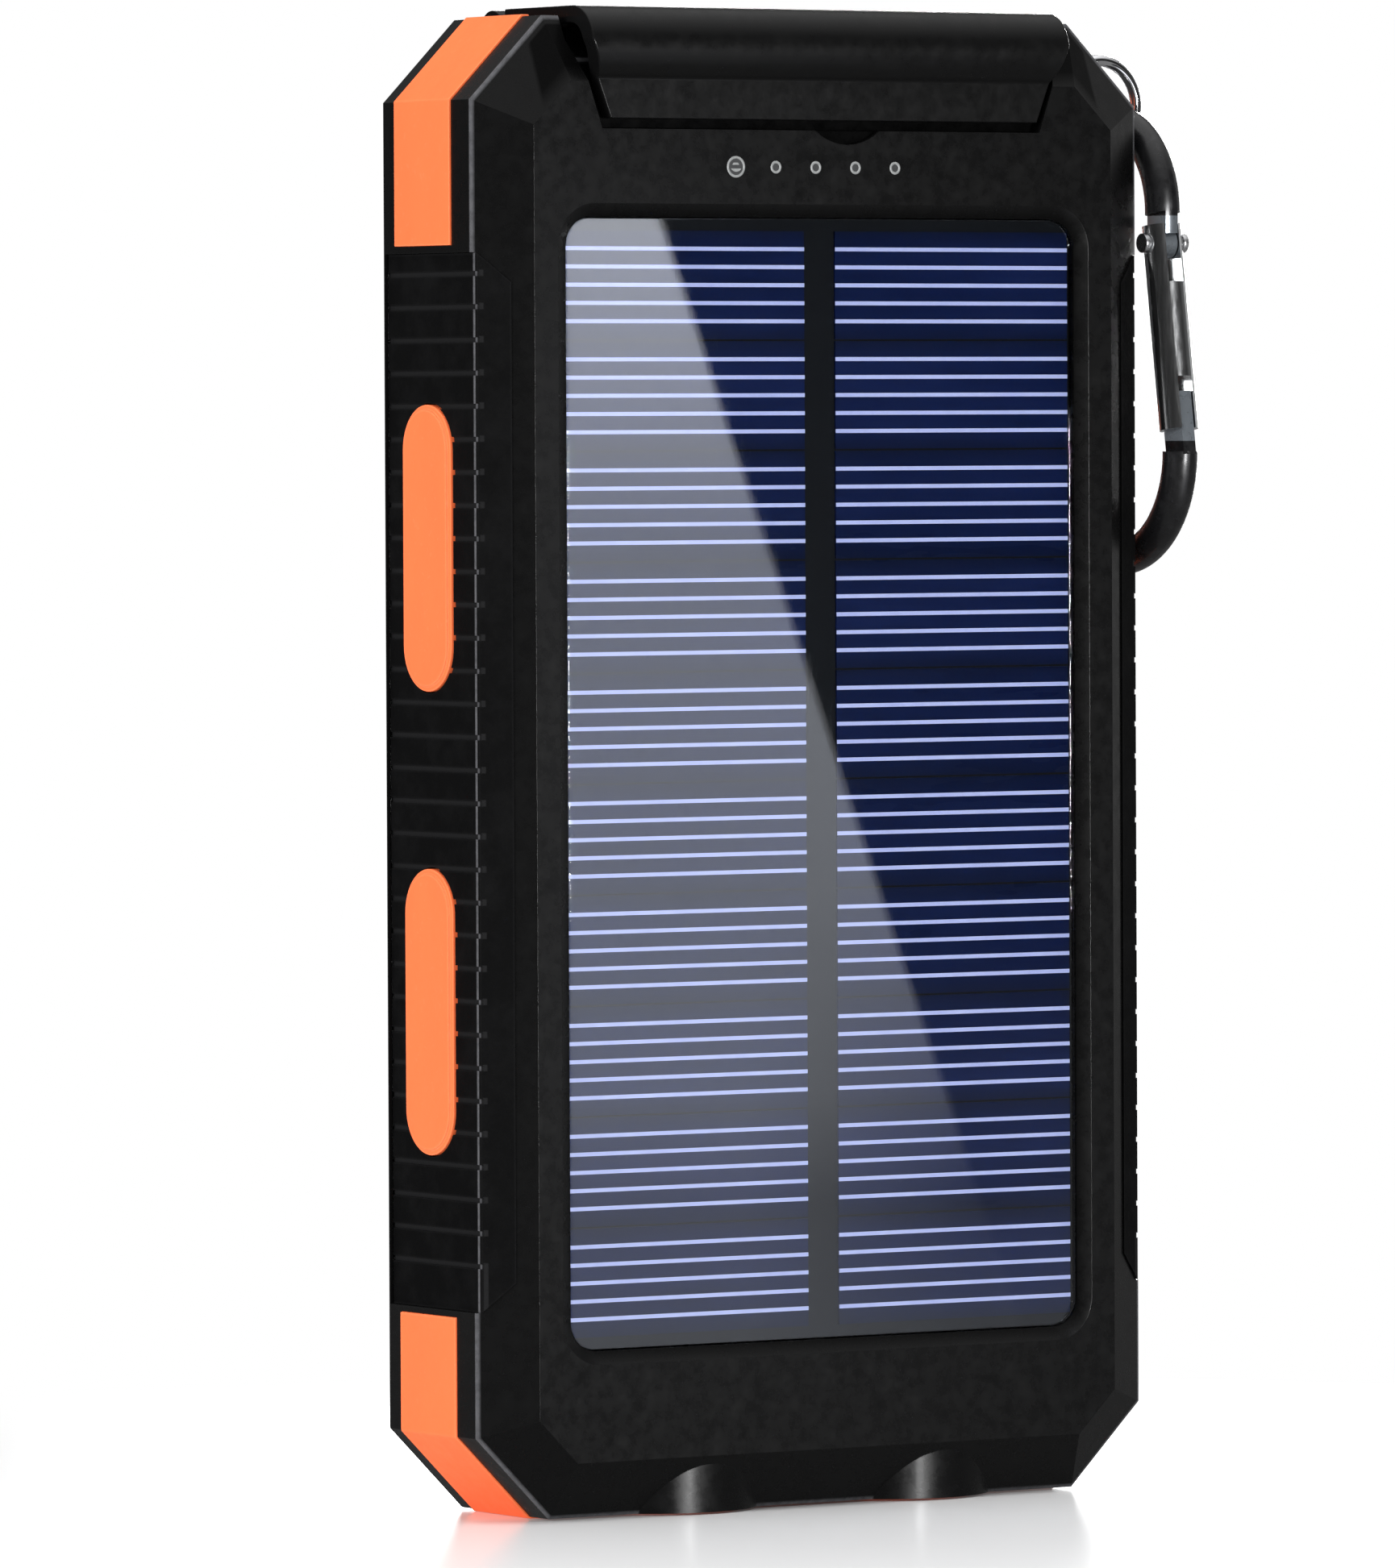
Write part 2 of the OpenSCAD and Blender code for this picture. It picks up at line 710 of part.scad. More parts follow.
module lanyard_ring() color([0.8, 0.8, 0.82])
  translate([ring_x, split_y, ring_z]) rotate([90, 0, 0])
    rotate_extrude() translate([ring_r, 0]) circle(ring_wire, $fn = 32);

// A piece of round rod bent to part of a circle in the Y and Z plane, at x = rod_x.
module bent_rod(y, z, r, from, sweep) {
  translate([rod_x, y, z]) rotate([90, 0, 90]) rotate([0, 0, from])
    rotate_extrude(angle = sweep) translate([r, 0]) circle(rod_r, $fn = 32);
}

module gate_frame() {
  translate([rod_x, gate_top[0], gate_top[1]]) rotate([gate_lean, 0, 0]) children();
}

module carabiner_body() color([0.05, 0.05, 0.05]) difference() {
  union() {
    bent_rod(top_arc_y, top_arc_z, top_arc_r, 0, 180);
    translate([rod_x, gate_top[0], gate_top[1] + 1]) cylinder(r = rod_r, h = pivot_drop - 1, $fn = 32);
    translate([rod_x, spine_y, low_arc_z]) cylinder(r = rod_r, h = top_arc_z - low_arc_z, $fn = 32);
    bent_rod(low_arc_y, low_arc_z, low_arc_r, -180, 180);
    gate_frame() {
      rod_x_axis(-tongue_t / 2, tongue_t / 2, 0, 0, 1.6);
      block([-tongue_t / 2, -1.6, -gate_len - 1.5], [tongue_t / 2, 1.6, -gate_len + 5]);
    }
  }
  // the rod is cut flat on both sides where the gate straddles it
  gate_frame() for (s = [-1, 1], z = [[-2.5, 3], [-gate_len + 0.9, -gate_len + 6]])
    translate([s * (5 + tongue_t / 2), 0, (z[0] + z[1]) / 2]) cube([10, 8, z[1] - z[0]], center = true);
  gate_frame() rod_x_axis(-5, 5, 0, 0, 0.66);
}

module carabiner_gate() color([0.8, 0.8, 0.82]) gate_frame() difference() {
  translate([0, 0, -gate_len + 1.2]) cylinder(r = gate_r, h = gate_len + 0.6);
  translate([0, 0, -gate_len + 8]) cylinder(r = 1.1, h = gate_len - 14);
  block([-tongue_t / 2 - 0.1, -5, -4.2], [tongue_t / 2 + 0.1, 5, 5]);
  block([-tongue_t / 2 - 0.1, -5, -gate_len - 2], [tongue_t / 2 + 0.1, 5, -gate_len + 6.5]);
  rod_x_axis(-5, 5, 0, 0, 0.66);
}

module gate_rivet() color([0.75, 0.75, 0.76]) gate_frame() {
  rod_x_axis(-2.5, 2.5, 0, 0, 0.6);
  for (s = [-1, 1]) rod_x_axis(s * 2.35 - 0.3, s * 2.35 + 0.3, 0, 0, 1);
}

module gate_spring() color([0.6, 0.6, 0.62]) gate_frame()
  translate([0, 0.5, -gate_len + 9]) cylinder(r = 0.3, h = gate_len - 16, $fn = 16);

// ---------- Lamps ----------

module each_lamp() {
  both_sides() translate([lamp_x, 0, 0]) children();
}

module lamp_lenses() color([0.95, 0.97, 1, 0.5]) each_lamp() union() {
  translate([0, 0, 0.5]) cylinder(r = lens_r, h = 1.6);
  translate([0, 0, 1.85]) cylinder(r = 6.2, h = 0.8);
}

module lamp_reflectors() color([0.85, 0.85, 0.87]) each_lamp()
  rotate_extrude() polygon([[5.7, 2.7], [6.2, 2.7], [6.2, 8.5], [1.9, 8.5], [1.9, 7.6], [3.6, 6], [5, 4]]);

module lamp_emitters() color([0.95, 0.9, 0.55]) each_lamp() {
  translate([0, 0, 7.7]) cylinder(r = 1.7, h = 0.85);
  intersection() {
    translate([0, 0, 7.7]) sphere(1.3);
    translate([-2, -2, 5]) cube([4, 4, 2.8]);
  }
}

module lamp_boards() color([0.85, 0.87, 0.85]) each_lamp() translate([0, 0, 8.57]) cylinder(r = 6.2, h = 1.2);

module lamp_leads() color([0.15, 0.15, 0.15])
  both_sides() for (s = [0, 1])
    wire([
      [lamp_x + s, 3, 9.95], [lamp_x + s, 3, 18], [31, 3.8 + s, 20.6], [34.75, 3.9 + s, 24.8],
      [34.75, 3.9 + s, 105], [21.6 - s, 1, 107], [21.6 - s, board_y - 0.36, 108.6]
    ], 0.3);

// ---------- Electronics ----------

module battery_cells() color([0.55, 0.6, 0.65]) {
  xz(-5.7, 0.4) rounded_rect_at(-1.4, 63.6, 23.5, 104, 2);
  xz(0.8, 6.9) rounded_rect_at(-1.4, 63.6, 23.5, 104, 2);
}

module rounded_rect_at(x, w, z0, z1, r) {
  translate([x, 0]) rounded_rect(w, z0, z1, r);
}

module battery_pads() color([0.85, 0.85, 0.82]) {
  block([-30, 0.42, 30], [28, 0.78, 96]);
  block([-24, 6.92, 36], [22, cavity_back - 0.02, 90]);
}

module cell_tabs() color([0.75, 0.75, 0.72])
  for (x = [-14, -4], y = [-3, 3.4]) block([x, y, 104.02], [x + 4, y + 0.3, 107]);

module battery_leads() color([0.7, 0.1, 0.1])
  for (x = [-12, -2])
    wire([[x, -2.1, 105.5], [x, -1.4, 109], [x, 0.6, 111], [x, board_y - 0.55, 112]], 0.5);

module main_board() color([0.05, 0.3, 0.15]) difference() {
  block([-22.3, board_y, 108], [22.3, board_y + 1.2, 140.5]);
  both_sides() rod_y(19.5, 111, 0.85, 0, far);
}

module board_chips() color([0.1, 0.1, 0.11]) {
  block([-6, board_y - 1.2, 118], [0, board_y - 0.02, 124]);
  block([5, board_y - 1, 121], [9, board_y - 0.02, 125]);
  block([-13, board_y - 0.9, 119.5], [-9.5, board_y - 0.02, 123.5]);
  for (i = [0 : 5]) block([-19 + i * 2.6, board_y - 0.6, 126.2], [-17.4 + i * 2.6, board_y - 0.02, 127]);
}

module inductor() color([0.3, 0.3, 0.32]) block([10.5, board_y - 3, 113.5], [16.5, board_y - 0.02, 119.5]);

module capacitors() color([0.7, 0.7, 0.72])
  for (x = [3, 7.4]) translate([x, board_y - 2.05, 111]) cylinder(r = 2, h = 6);

module usb_shells() color([0.75, 0.75, 0.76]) both_sides() translate([usb_x, usb_y, 0]) difference() {
  block([-6.5, -2.65, 130], [6.5, 2.65, 146.2]);
  block([-6.2, -2.35, 130.4], [6.2, 2.35, 147]);
}

module usb_tongues() color([0.92, 0.92, 0.9]) both_sides() translate([usb_x, usb_y, 0]) {
  block([-6.1, -2.3, 130.5], [6.1, 2.3, 133.5]);
  block([-5.6, 0.2, 133.4], [5.6, 2, 145.2]);
}

module usb_contacts() color([0.85, 0.7, 0.35]) both_sides() for (i = [0 : 3])
  translate([usb_x - 4 + i * 2.4, usb_y + 0.02, 134]) cube([0.9, 0.17, 10]);

module micro_usb_shell() color([0.75, 0.75, 0.76]) difference() {
  block([-3.75, -0.45, 140.7], [3.75, 2.25, 146]);
  block([-3.5, -0.2, 141.2], [3.5, 2, 147]);
}

module micro_usb_tongue() color([0.12, 0.12, 0.12]) block([-1.9, 0.9, 141.25], [1.9, 1.5, 145.6]);

module indicator_board() color([0.05, 0.3, 0.15]) block([-13, -5.4, 131.9], [11, -4.6, 137.4]);

module indicator_chips() color([0.95, 0.95, 0.8])
  for (x = dot_x) block([x - 0.8, -6, dot_z - 0.45], [x + 0.8, -5.42, dot_z + 0.45]);

module light_guide() color([0.85, 0.87, 0.9]) {
  for (i = [0 : dot_count - 1]) rod_y(dot_x[i], dot_z, i == 0 ? 1 : 0.6, -front_y, -6.05);
  block([dot_x[0], -7.8, dot_z - 0.5], [dot_x[dot_count - 1], -7, dot_z + 0.5]);
}

front_shell();
rear_shell();
case_seals();
solar_cover();
solar_backing();
solar_cells();
cell_fingers();
panel_adhesive();
corner_trim_left();
corner_trim_right();
bottom_band();
grip_left();
grip_right();
grip_inserts();
power_button();
switch_plunger();
tact_switch();
port_cover();
port_seal();
hinge_pin();
compass_plate();
compass_capsule();
compass_pivot();
compass_card();
compass_lens();
compass_scale_ring();
case_screws();
screw_plugs();
lanyard_post();
lanyard_ring();
carabiner_body();
carabiner_gate();
gate_rivet();
gate_spring();
lamp_lenses();
lamp_reflectors();
lamp_emitters();
lamp_boards();
battery_cells();
battery_pads();
cell_tabs();
main_board();
board_chips();
inductor();
capacitors();
usb_shells();
usb_tongues();
usb_contacts();
micro_usb_shell();
micro_usb_tongue();
indicator_board();
indicator_chips();
light_guide();
board_screws();
solar_leads();
battery_leads();
lamp_leads();
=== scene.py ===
import json
import math

import bmesh
import bpy
from mathutils import Matrix, Vector


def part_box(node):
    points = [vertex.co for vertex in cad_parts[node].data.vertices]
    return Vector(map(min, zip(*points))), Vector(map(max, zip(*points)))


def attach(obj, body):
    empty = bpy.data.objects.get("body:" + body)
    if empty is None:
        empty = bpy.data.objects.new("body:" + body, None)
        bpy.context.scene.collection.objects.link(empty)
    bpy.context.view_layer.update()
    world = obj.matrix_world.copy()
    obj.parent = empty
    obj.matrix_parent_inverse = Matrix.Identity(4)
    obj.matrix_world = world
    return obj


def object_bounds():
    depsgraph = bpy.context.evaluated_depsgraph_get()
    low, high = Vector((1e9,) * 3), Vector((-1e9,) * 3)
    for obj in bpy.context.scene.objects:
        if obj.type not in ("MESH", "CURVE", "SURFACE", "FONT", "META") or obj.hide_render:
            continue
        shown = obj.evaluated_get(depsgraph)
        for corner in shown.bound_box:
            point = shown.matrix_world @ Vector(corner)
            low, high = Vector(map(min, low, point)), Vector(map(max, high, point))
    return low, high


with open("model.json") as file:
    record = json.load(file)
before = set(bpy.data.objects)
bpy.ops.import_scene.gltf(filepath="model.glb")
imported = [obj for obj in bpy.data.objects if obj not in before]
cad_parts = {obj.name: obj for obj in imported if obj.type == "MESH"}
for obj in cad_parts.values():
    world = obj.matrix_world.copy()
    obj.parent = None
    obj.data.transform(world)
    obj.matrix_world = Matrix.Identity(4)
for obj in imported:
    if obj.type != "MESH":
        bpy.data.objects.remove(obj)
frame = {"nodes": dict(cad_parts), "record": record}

MM = 0.001
CAD_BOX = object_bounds()
NODES = frame["nodes"]
SUBPARTS = frame["record"]["subparts"]

# ---------- Colours, linear ----------

BLACK = (0.0042, 0.0042, 0.0043)
RUBBER = (0.0046, 0.0046, 0.0048)
# Grey of the painted highlight on the side edge.
EDGE_HIGHLIGHT_GREY = (0.11, 0.11, 0.118)
ORANGE = (1.0, 0.165, 0.05)
SILICON_DARK = (0.0038, 0.0125, 0.058)
SILICON_BLUE = (0.0065, 0.022, 0.118)
SILVER = (0.62, 0.66, 0.95)
WHITE_PRINT = (0.86, 0.86, 0.84)
RED_PRINT = (0.72, 0.05, 0.15)


# ---------- Material kit ----------

class Finish:
    """One material: a Principled shader, and short calls that wire millimetre textures into it."""

    def __init__(self, name, colour, rough, **inputs):
        self.material = bpy.data.materials.new(name)
        self.material.use_nodes = True
        tree = self.material.node_tree
        self.nodes, self.links = tree.nodes, tree.links
        self.shader = self.nodes["Principled BSDF"]
        self.output = self.nodes["Material Output"]
        self.normal = None
        self.set("Base Color", colour)
        self.set("Roughness", rough)
        for key, value in inputs.items():
            self.set(key.replace("_", " "), value)

    def set(self, key, value):
        socket = self.shader.inputs[key]
        if isinstance(value, bpy.types.NodeSocket):
            self.links.new(value, socket)
        elif socket.type == "RGBA":
            socket.default_value = (*value, 1)
        else:
            socket.default_value = value

    def node(self, kind, inputs=(), **settings):
        made = self.nodes.new(kind)
        for key, value in settings.items():
            setattr(made, key, value)
        for key, value in dict(inputs).items():
            if isinstance(value, bpy.types.NodeSocket):
                self.links.new(value, made.inputs[key])
            else:
                made.inputs[key].default_value = value
        return made

    def place(self, size=1.0, stretch=(1, 1, 1)):
        """Object coordinates, where one unit is size millimetres."""
        scale = [s / (size * MM) for s in stretch]
        coords = self.node("ShaderNodeTexCoord").outputs["Object"]
        return self.node("ShaderNodeMapping", {"Vector": coords, "Scale": scale}).outputs[0]

    def noise(self, size, detail=3.0, rough=0.5, stretch=(1, 1, 1)):
        where = self.place(size, stretch)
        inputs = {"Vector": where, "Scale": 1.0, "Detail": detail, "Roughness": rough}
        return self.node("ShaderNodeTexNoise", inputs).outputs["Fac"]

    def cells(self, size, feature="F1"):
        inputs = {"Vector": self.place(size), "Scale": 1.0}
        return self.node("ShaderNodeTexVoronoi", inputs, feature=feature).outputs["Distance"]

    def span(self, value, low, high, out_low=0.0, out_high=1.0):
        inputs = {"Value": value, "From Min": low, "From Max": high, "To Min": out_low, "To Max": out_high}
        return self.node("ShaderNodeMapRange", inputs).outputs["Result"]

    def maths(self, operation, a, b=0.0):
        return self.node("ShaderNodeMath", {0: a, 1: b}, operation=operation).outputs[0]

    def blend(self, factor, a, b):
        made = self.node("ShaderNodeMix", data_type="RGBA")
        for index, value in ((0, factor), (6, a), (7, b)):
            if isinstance(value, bpy.types.NodeSocket):
                self.links.new(value, made.inputs[index])
            elif isinstance(value, tuple):
                made.inputs[index].default_value = (*value, 1)
            else:
                made.inputs[index].default_value = value
        return made.outputs[2]

    def bump(self, height, depth):
        """Raises the surface by height times depth millimetres."""
        inputs = {"Height": height, "Distance": depth * MM, "Strength": 1.0}
        if self.normal is not None:
            inputs["Normal"] = self.normal
        self.normal = self.node("ShaderNodeBump", inputs).outputs[0]
        self.set("Normal", self.normal)

    def axis(self, index):
        """Object coordinate along X, Y or Z, in millimetres."""
        split = self.node("ShaderNodeSeparateXYZ", {0: self.place()})
        return split.outputs[index]

    def near(self, value, centre, half, soft):
        """1 within half of the centre value, fading to 0 over soft."""
        off = self.maths("ABSOLUTE", self.maths("SUBTRACT", value, centre))
        return self.span(off, half, half + soft, 1.0, 0.0)

    def edges(self, radius, sharpness=6.0):
        """1 on a convex or concave edge, 0 on the flat."""
        rounded = self.node("ShaderNodeBevel", {"Radius": radius * MM}, samples=2).outputs[0]
        flat = self.node("ShaderNodeNewGeometry").outputs["Normal"]
        facing = self.node("ShaderNodeVectorMath", {0: rounded, 1: flat}, operation="DOT_PRODUCT")
        bent = self.maths("SUBTRACT", 1.0, facing.outputs["Value"])
        raised = self.node("ShaderNodeMath", {0: bent, 1: sharpness}, operation="MULTIPLY", use_clamp=True)
        return raised.outputs[0]


def tone(colour, factor):
    return tuple(min(1.0, c * factor) for c in colour)


# ---------- Plastics and rubber ----------

RIM_Y = -7.5
RECESS_START = -10.85
RECESS_HALF = 33.0
RECESS_LOW_Z = 15.2
RECESS_BACK = -8.0
RECESS_DARK = (0.001, 0.001, 0.001)
SHELL_SPECULAR = 0.16


def paint_edge_highlight(f, base):
    """Painted highlight: a pale line, broken up by noise, on the edge where the side face meets the front
    bevel.
    """
    on_edge = f.near(f.axis(1), RIM_Y, 0.1, 0.16)
    painted_highlight = f.maths("MULTIPLY", on_edge, f.span(f.noise(1.1, 5, 0.7), 0.25, 0.6, 0.45, 1.0))
    return f.blend(painted_highlight, base, EDGE_HIGHLIGHT_GREY)


def moulded(name, colour, rough, grain=0.22, depth=0.012, mottle=0.12, wear=1.8, painted_rim_and_shade=False):
    """Injection-moulded plastic: clouded colour, spark-eroded grain, polished and lighter edges."""
    f = Finish(name, colour, rough, Specular_IOR_Level=SHELL_SPECULAR)
    cloud = f.blend(f.noise(9, 4), tone(colour, 1 - mottle), tone(colour, 1 + mottle))
    edge = f.maths("MULTIPLY", f.edges(0.35), f.noise(2.2, 5, 0.7))
    base = f.blend(edge, cloud, tone(colour, wear))
    # With the flag: a painted highlight on the side edge and painted shade in the recesses behind the
    # plateau.
    f.set("Base Color", recess_shadow(f, paint_edge_highlight(f, base)) if painted_rim_and_shade else base)
    scuffs = f.span(f.noise(1.6, 6, 0.65), 0.3, 0.7, rough - 0.05, rough + 0.08)
    f.set("Roughness", f.blend(edge, scuffs, (rough * 0.75,) * 3))
    f.bump(f.noise(grain, 3, 0.6), depth)
    f.bump(f.noise(14, 1), 0.03)
    return f.material


def recess_shadow(f, base):
    """Darkens the slopes and pockets that lie behind the front plateau."""
    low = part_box("solar_cover")[0].y / MM
    inward = f.span(f.axis(1), RECESS_START, low, 0.0, 0.75)
    between_sides = f.span(f.maths("ABSOLUTE", f.axis(0)), RECESS_HALF, RECESS_HALF + 0.4, 1.0, 0.0)
    above_lamps = f.span(f.axis(2), RECESS_LOW_Z, RECESS_LOW_Z + 0.4)
    in_front = f.span(f.axis(1), RECESS_BACK, RECESS_BACK + 0.1, 1.0, 0.0)
    across = f.maths("MULTIPLY", inward, between_sides)
    where = f.maths("MULTIPLY", across, f.maths("MULTIPLY", above_lamps, in_front))
    f.set("Specular IOR Level", f.span(where, 0.0, 0.75, SHELL_SPECULAR, 0.05))
    return f.blend(where, base, RECESS_DARK)


def shell_black():
    return moulded("shell_black", BLACK, 0.27, grain=0.35, depth=0.003, painted_rim_and_shade=True)


def cover_black():
    return moulded("cover_black", tone(BLACK, 1.05), 0.3, grain=0.3, depth=0.005)


GROOVE_START = 4.3
GROOVE_PITCH = 3.27
GROOVE_HIGH = 0.5
GROOVE_COUNT = 40.0
GROOVE_FLOOR_X = 38.8


def grip_rubber():
    """Black rubber with random paler dust, lighter edges, painted highlight lines in its grooves and a
    painted highlight on the front edge.
    """
    f = Finish("grip_rubber", RUBBER, 0.72, Specular_IOR_Level=0.03)
    dust = f.span(f.noise(5, 6, 0.7), 0.45, 0.75)
    edge = f.edges(0.3, 4.0)
    matte = f.blend(dust, tone(RUBBER, 0.85), tone(RUBBER, 1.5))
    base = f.blend(edge, matte, tone(RUBBER, 2.0))
    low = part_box("grip_left")[0]
    first = low.z / MM + GROOVE_START
    turns = f.span(f.axis(2), first, first + GROOVE_PITCH * GROOVE_COUNT, 0.0, GROOVE_COUNT)
    turn = f.maths("FRACT", turns)
    across = f.maths("ABSOLUTE", f.axis(0))
    # Painted highlight: pale lines in the grooves, where their walls would catch light from above.
    groove_highlight = f.span(across, -low.x / MM - 0.12, -low.x / MM - 0.2)
    groove_highlight = f.maths("MULTIPLY", groove_highlight, f.near(turn, GROOVE_HIGH / 2 / GROOVE_PITCH, 0.1, 0.03))
    groove_highlight = f.maths("MULTIPLY", groove_highlight, f.span(across, GROOVE_FLOOR_X, GROOVE_FLOOR_X + 0.1))
    base = f.blend(groove_highlight, base, tone(RUBBER, 3.2))
    # Painted highlight on the edge where the side meets the front bevel.
    f.set("Base Color", paint_edge_highlight(f, base))
    f.set("Roughness", f.span(f.noise(0.8, 4), 0.3, 0.7, 0.62, 0.82))
    f.bump(f.cells(0.28), 0.02)
    return f.material


def orange_plastic():
    """Satin orange plastic with faint flow marks and a fine grain, a painted highlight on its edges and a
    faint painted glow.
    """
    f = Finish("orange_plastic", ORANGE, 0.48, Specular_IOR_Level=0.2)
    flow = f.noise(7, 5, 0.6, stretch=(1, 1, 0.35))
    specks = f.span(f.noise(0.6, 2), 0.62, 0.75)
    base = f.blend(flow, tone(ORANGE, 0.9), tone(ORANGE, 1.12))
    base = f.blend(f.maths("MULTIPLY", specks, 0.12), base, (0.85, 0.33, 0.17))
    # Painted highlight: the edges are lighter.
    f.set("Base Color", f.blend(f.maths("MULTIPLY", f.edges(0.3), 0.35), base, (1.0, 0.42, 0.2)))
    f.set("Roughness", f.span(f.noise(1.2, 4), 0.3, 0.7, 0.4, 0.56))
    # Painted glow: a faint emission stands in for bounce light on the downward facets.
    f.set("Emission Color", ORANGE)
    f.set("Emission Strength", 0.12)
    f.bump(f.noise(0.18, 3, 0.6), 0.01)
    return f.material


def soft_seal():
    f = Finish("soft_seal", (0.03, 0.03, 0.032), 0.6)
    f.set("Base Color", f.blend(f.noise(3, 4), (0.022, 0.022, 0.024), (0.042, 0.042, 0.044)))
    f.bump(f.noise(0.3, 3), 0.01)
    return f.material


def white_plastic():
    f = Finish("white_plastic", (0.8, 0.79, 0.75), 0.4)
    f.set("Base Color", f.blend(f.noise(4, 3), (0.74, 0.73, 0.69), (0.84, 0.83, 0.8)))
    f.bump(f.noise(0.25, 3), 0.006)
    return f.material


GLASS_IOR = 1.5
INNER_FACE_IOR = 1 / 1.68


def clear_layer(name, tint, rough, haze=0.0):
    """Clear sheet or lens: passes light and adds a Fresnel reflection, with fine scratches.

    Light is not bent inside, so the inner face takes an inverse index and stays clear at a slant.
    """
    f = Finish(name, tint, rough)
    f.nodes.remove(f.shader)
    scratches = f.noise(0.5, 4, 0.6, stretch=(1, 1, 0.08))
    gloss_rough = f.span(scratches, 0.4, 0.8, rough, rough + 0.04)
    ripple = f.node("ShaderNodeBump", {"Height": f.noise(18, 1), "Distance": 0.01 * MM}).outputs[0]
    shine = {"Color": (1, 1, 1, 1), "Roughness": gloss_rough, "Normal": ripple}
    gloss = f.node("ShaderNodeBsdfAnisotropic", shine)
    clear = f.node("ShaderNodeBsdfTransparent", {"Color": (*tint, 1)})
    dust = f.node("ShaderNodeBsdfDiffuse", {"Color": (0.8, 0.82, 0.86, 1)})
    hazed = f.node("ShaderNodeMixShader", {0: haze, 1: clear.outputs[0], 2: dust.outputs[0]})
    inner_face = f.node("ShaderNodeNewGeometry").outputs["Backfacing"]
    seen_directly = f.node("ShaderNodeLightPath").outputs["Is Camera Ray"]
    leaving = f.maths("MULTIPLY", inner_face, seen_directly)
    index = f.span(leaving, 0.0, 1.0, GLASS_IOR, INNER_FACE_IOR)
    facing = f.node("ShaderNodeFresnel", {"IOR": index, "Normal": ripple}).outputs[0]
    mixed = f.node("ShaderNodeMixShader", {0: facing, 1: hazed.outputs[0], 2: gloss.outputs[0]})
    f.links.new(mixed.outputs[0], f.output.inputs["Surface"])
    return f.material


def panel_clear():
    return clear_layer("panel_clear", (0.94, 0.96, 1.0), 0.01)


def clear_plastic():
    return clear_layer("clear_plastic", (0.96, 0.97, 1.0), 0.03, haze=0.01)


def light_guide():
    """Frosted light pipe: milky, with a fine random mottle."""
    f = Finish("light_guide_milk", (0.03, 0.032, 0.034), 0.35)
    f.set("Base Color", f.blend(f.noise(0.5, 3), (0.018, 0.019, 0.02), (0.045, 0.047, 0.05)))
    f.bump(f.noise(0.3, 2), 0.008)
    return f.material


# ---------- Solar cells ----------

CELL_ROWS = 10.0


def silicon():
    """Blue silicon: tone drifts along each strip, darker at the strip's edges, with faint saw lines."""
    low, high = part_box("solar_cells")
    f = Finish("silicon_blue", SILICON_BLUE, 0.3, Specular_IOR_Level=0.06)
    z = f.node("ShaderNodeSeparateXYZ", {0: f.node("ShaderNodeTexCoord").outputs["Object"]}).outputs[2]
    along = f.span(z, low.z, high.z, 0.0, CELL_ROWS)
    turn = f.maths("FRACT", along)
    off_centre = f.maths("ABSOLUTE", f.maths("SUBTRACT", turn, 0.5))
    strip = f.span(off_centre, 0.3, 0.5)
    drift = f.noise(16, 4, 0.6, stretch=(0.4, 1, 2.2))
    saw = f.noise(0.7, 3, 0.6, stretch=(0.02, 1, 1))
    blue = f.blend(f.span(drift, 0.3, 0.7), SILICON_DARK, SILICON_BLUE)
    blue = f.blend(f.maths("MULTIPLY", saw, 0.4), blue, (0.0045, 0.015, 0.075))
    f.set("Base Color", f.blend(f.maths("MULTIPLY", strip, 0.75), blue, (0.0038, 0.0105, 0.036)))
    f.set("Roughness", f.span(drift, 0.3, 0.7, 0.24, 0.4))
    f.bump(saw, 0.003)
    return f.material


def silver_line():
    f = Finish("silver_line", SILVER, 0.5)
    f.set("Metallic", 0.15)
    f.set("Base Color", f.blend(f.noise(4, 4, 0.6), (0.5, 0.54, 0.86), (0.74, 0.78, 1.0)))
    # Painted glow: a faint emission brightens the finger lines as if lit.
    f.set("Emission Color", (0.5, 0.56, 0.9))
    f.set("Emission Strength", 0.12)
    f.bump(f.noise(0.12, 2), 0.004)
    return f.material


def board_black():
    f = Finish("board_black", (0.006, 0.007, 0.006), 0.45, Specular_IOR_Level=0.06)
    f.set("Base Color", f.blend(f.noise(6, 4), (0.0055, 0.0068, 0.0072), (0.0075, 0.0095, 0.01)))
    f.bump(f.noise(0.35, 2), 0.005)
    return f.material


# ---------- Metals ----------

def metal(name, colour, rough, brush=(1, 1, 1), depth=0.002, tarnish=0.1):
    f = Finish(name, colour, rough, Metallic=1.0)
    f.set("Base Color", f.blend(f.noise(2.5, 5), tone(colour, 1 - tarnish), colour))
    hairs = f.noise(0.3, 4, 0.6, stretch=brush)
    f.set("Roughness", f.span(hairs, 0.3, 0.7, rough * 0.8, rough * 1.3))
    f.bump(hairs, depth)
    return f.material


def steel():
    return metal("steel", (0.56, 0.56, 0.57), 0.28)


def chrome():
    return metal("chrome", (0.78, 0.78, 0.8), 0.09, tarnish=0.05, depth=0.0006)


def bare_aluminium():
    return metal("bare_aluminium", (0.8, 0.81, 0.82), 0.17, brush=(1, 1, 0.06), depth=0.002)


def nickel():
    return metal("nickel", (0.62, 0.6, 0.55), 0.3, brush=(0.1, 1, 1))


def tinned():
    return metal("tinned_steel", (0.66, 0.66, 0.66), 0.32)


def brass():
    return metal("brass", (0.75, 0.55, 0.25), 0.25)


def gold():
    return metal("gold_plate", (0.95, 0.7, 0.3), 0.2)


def reflector():
    return metal("reflector", (0.9, 0.9, 0.92), 0.12, tarnish=0.04, depth=0.0008)


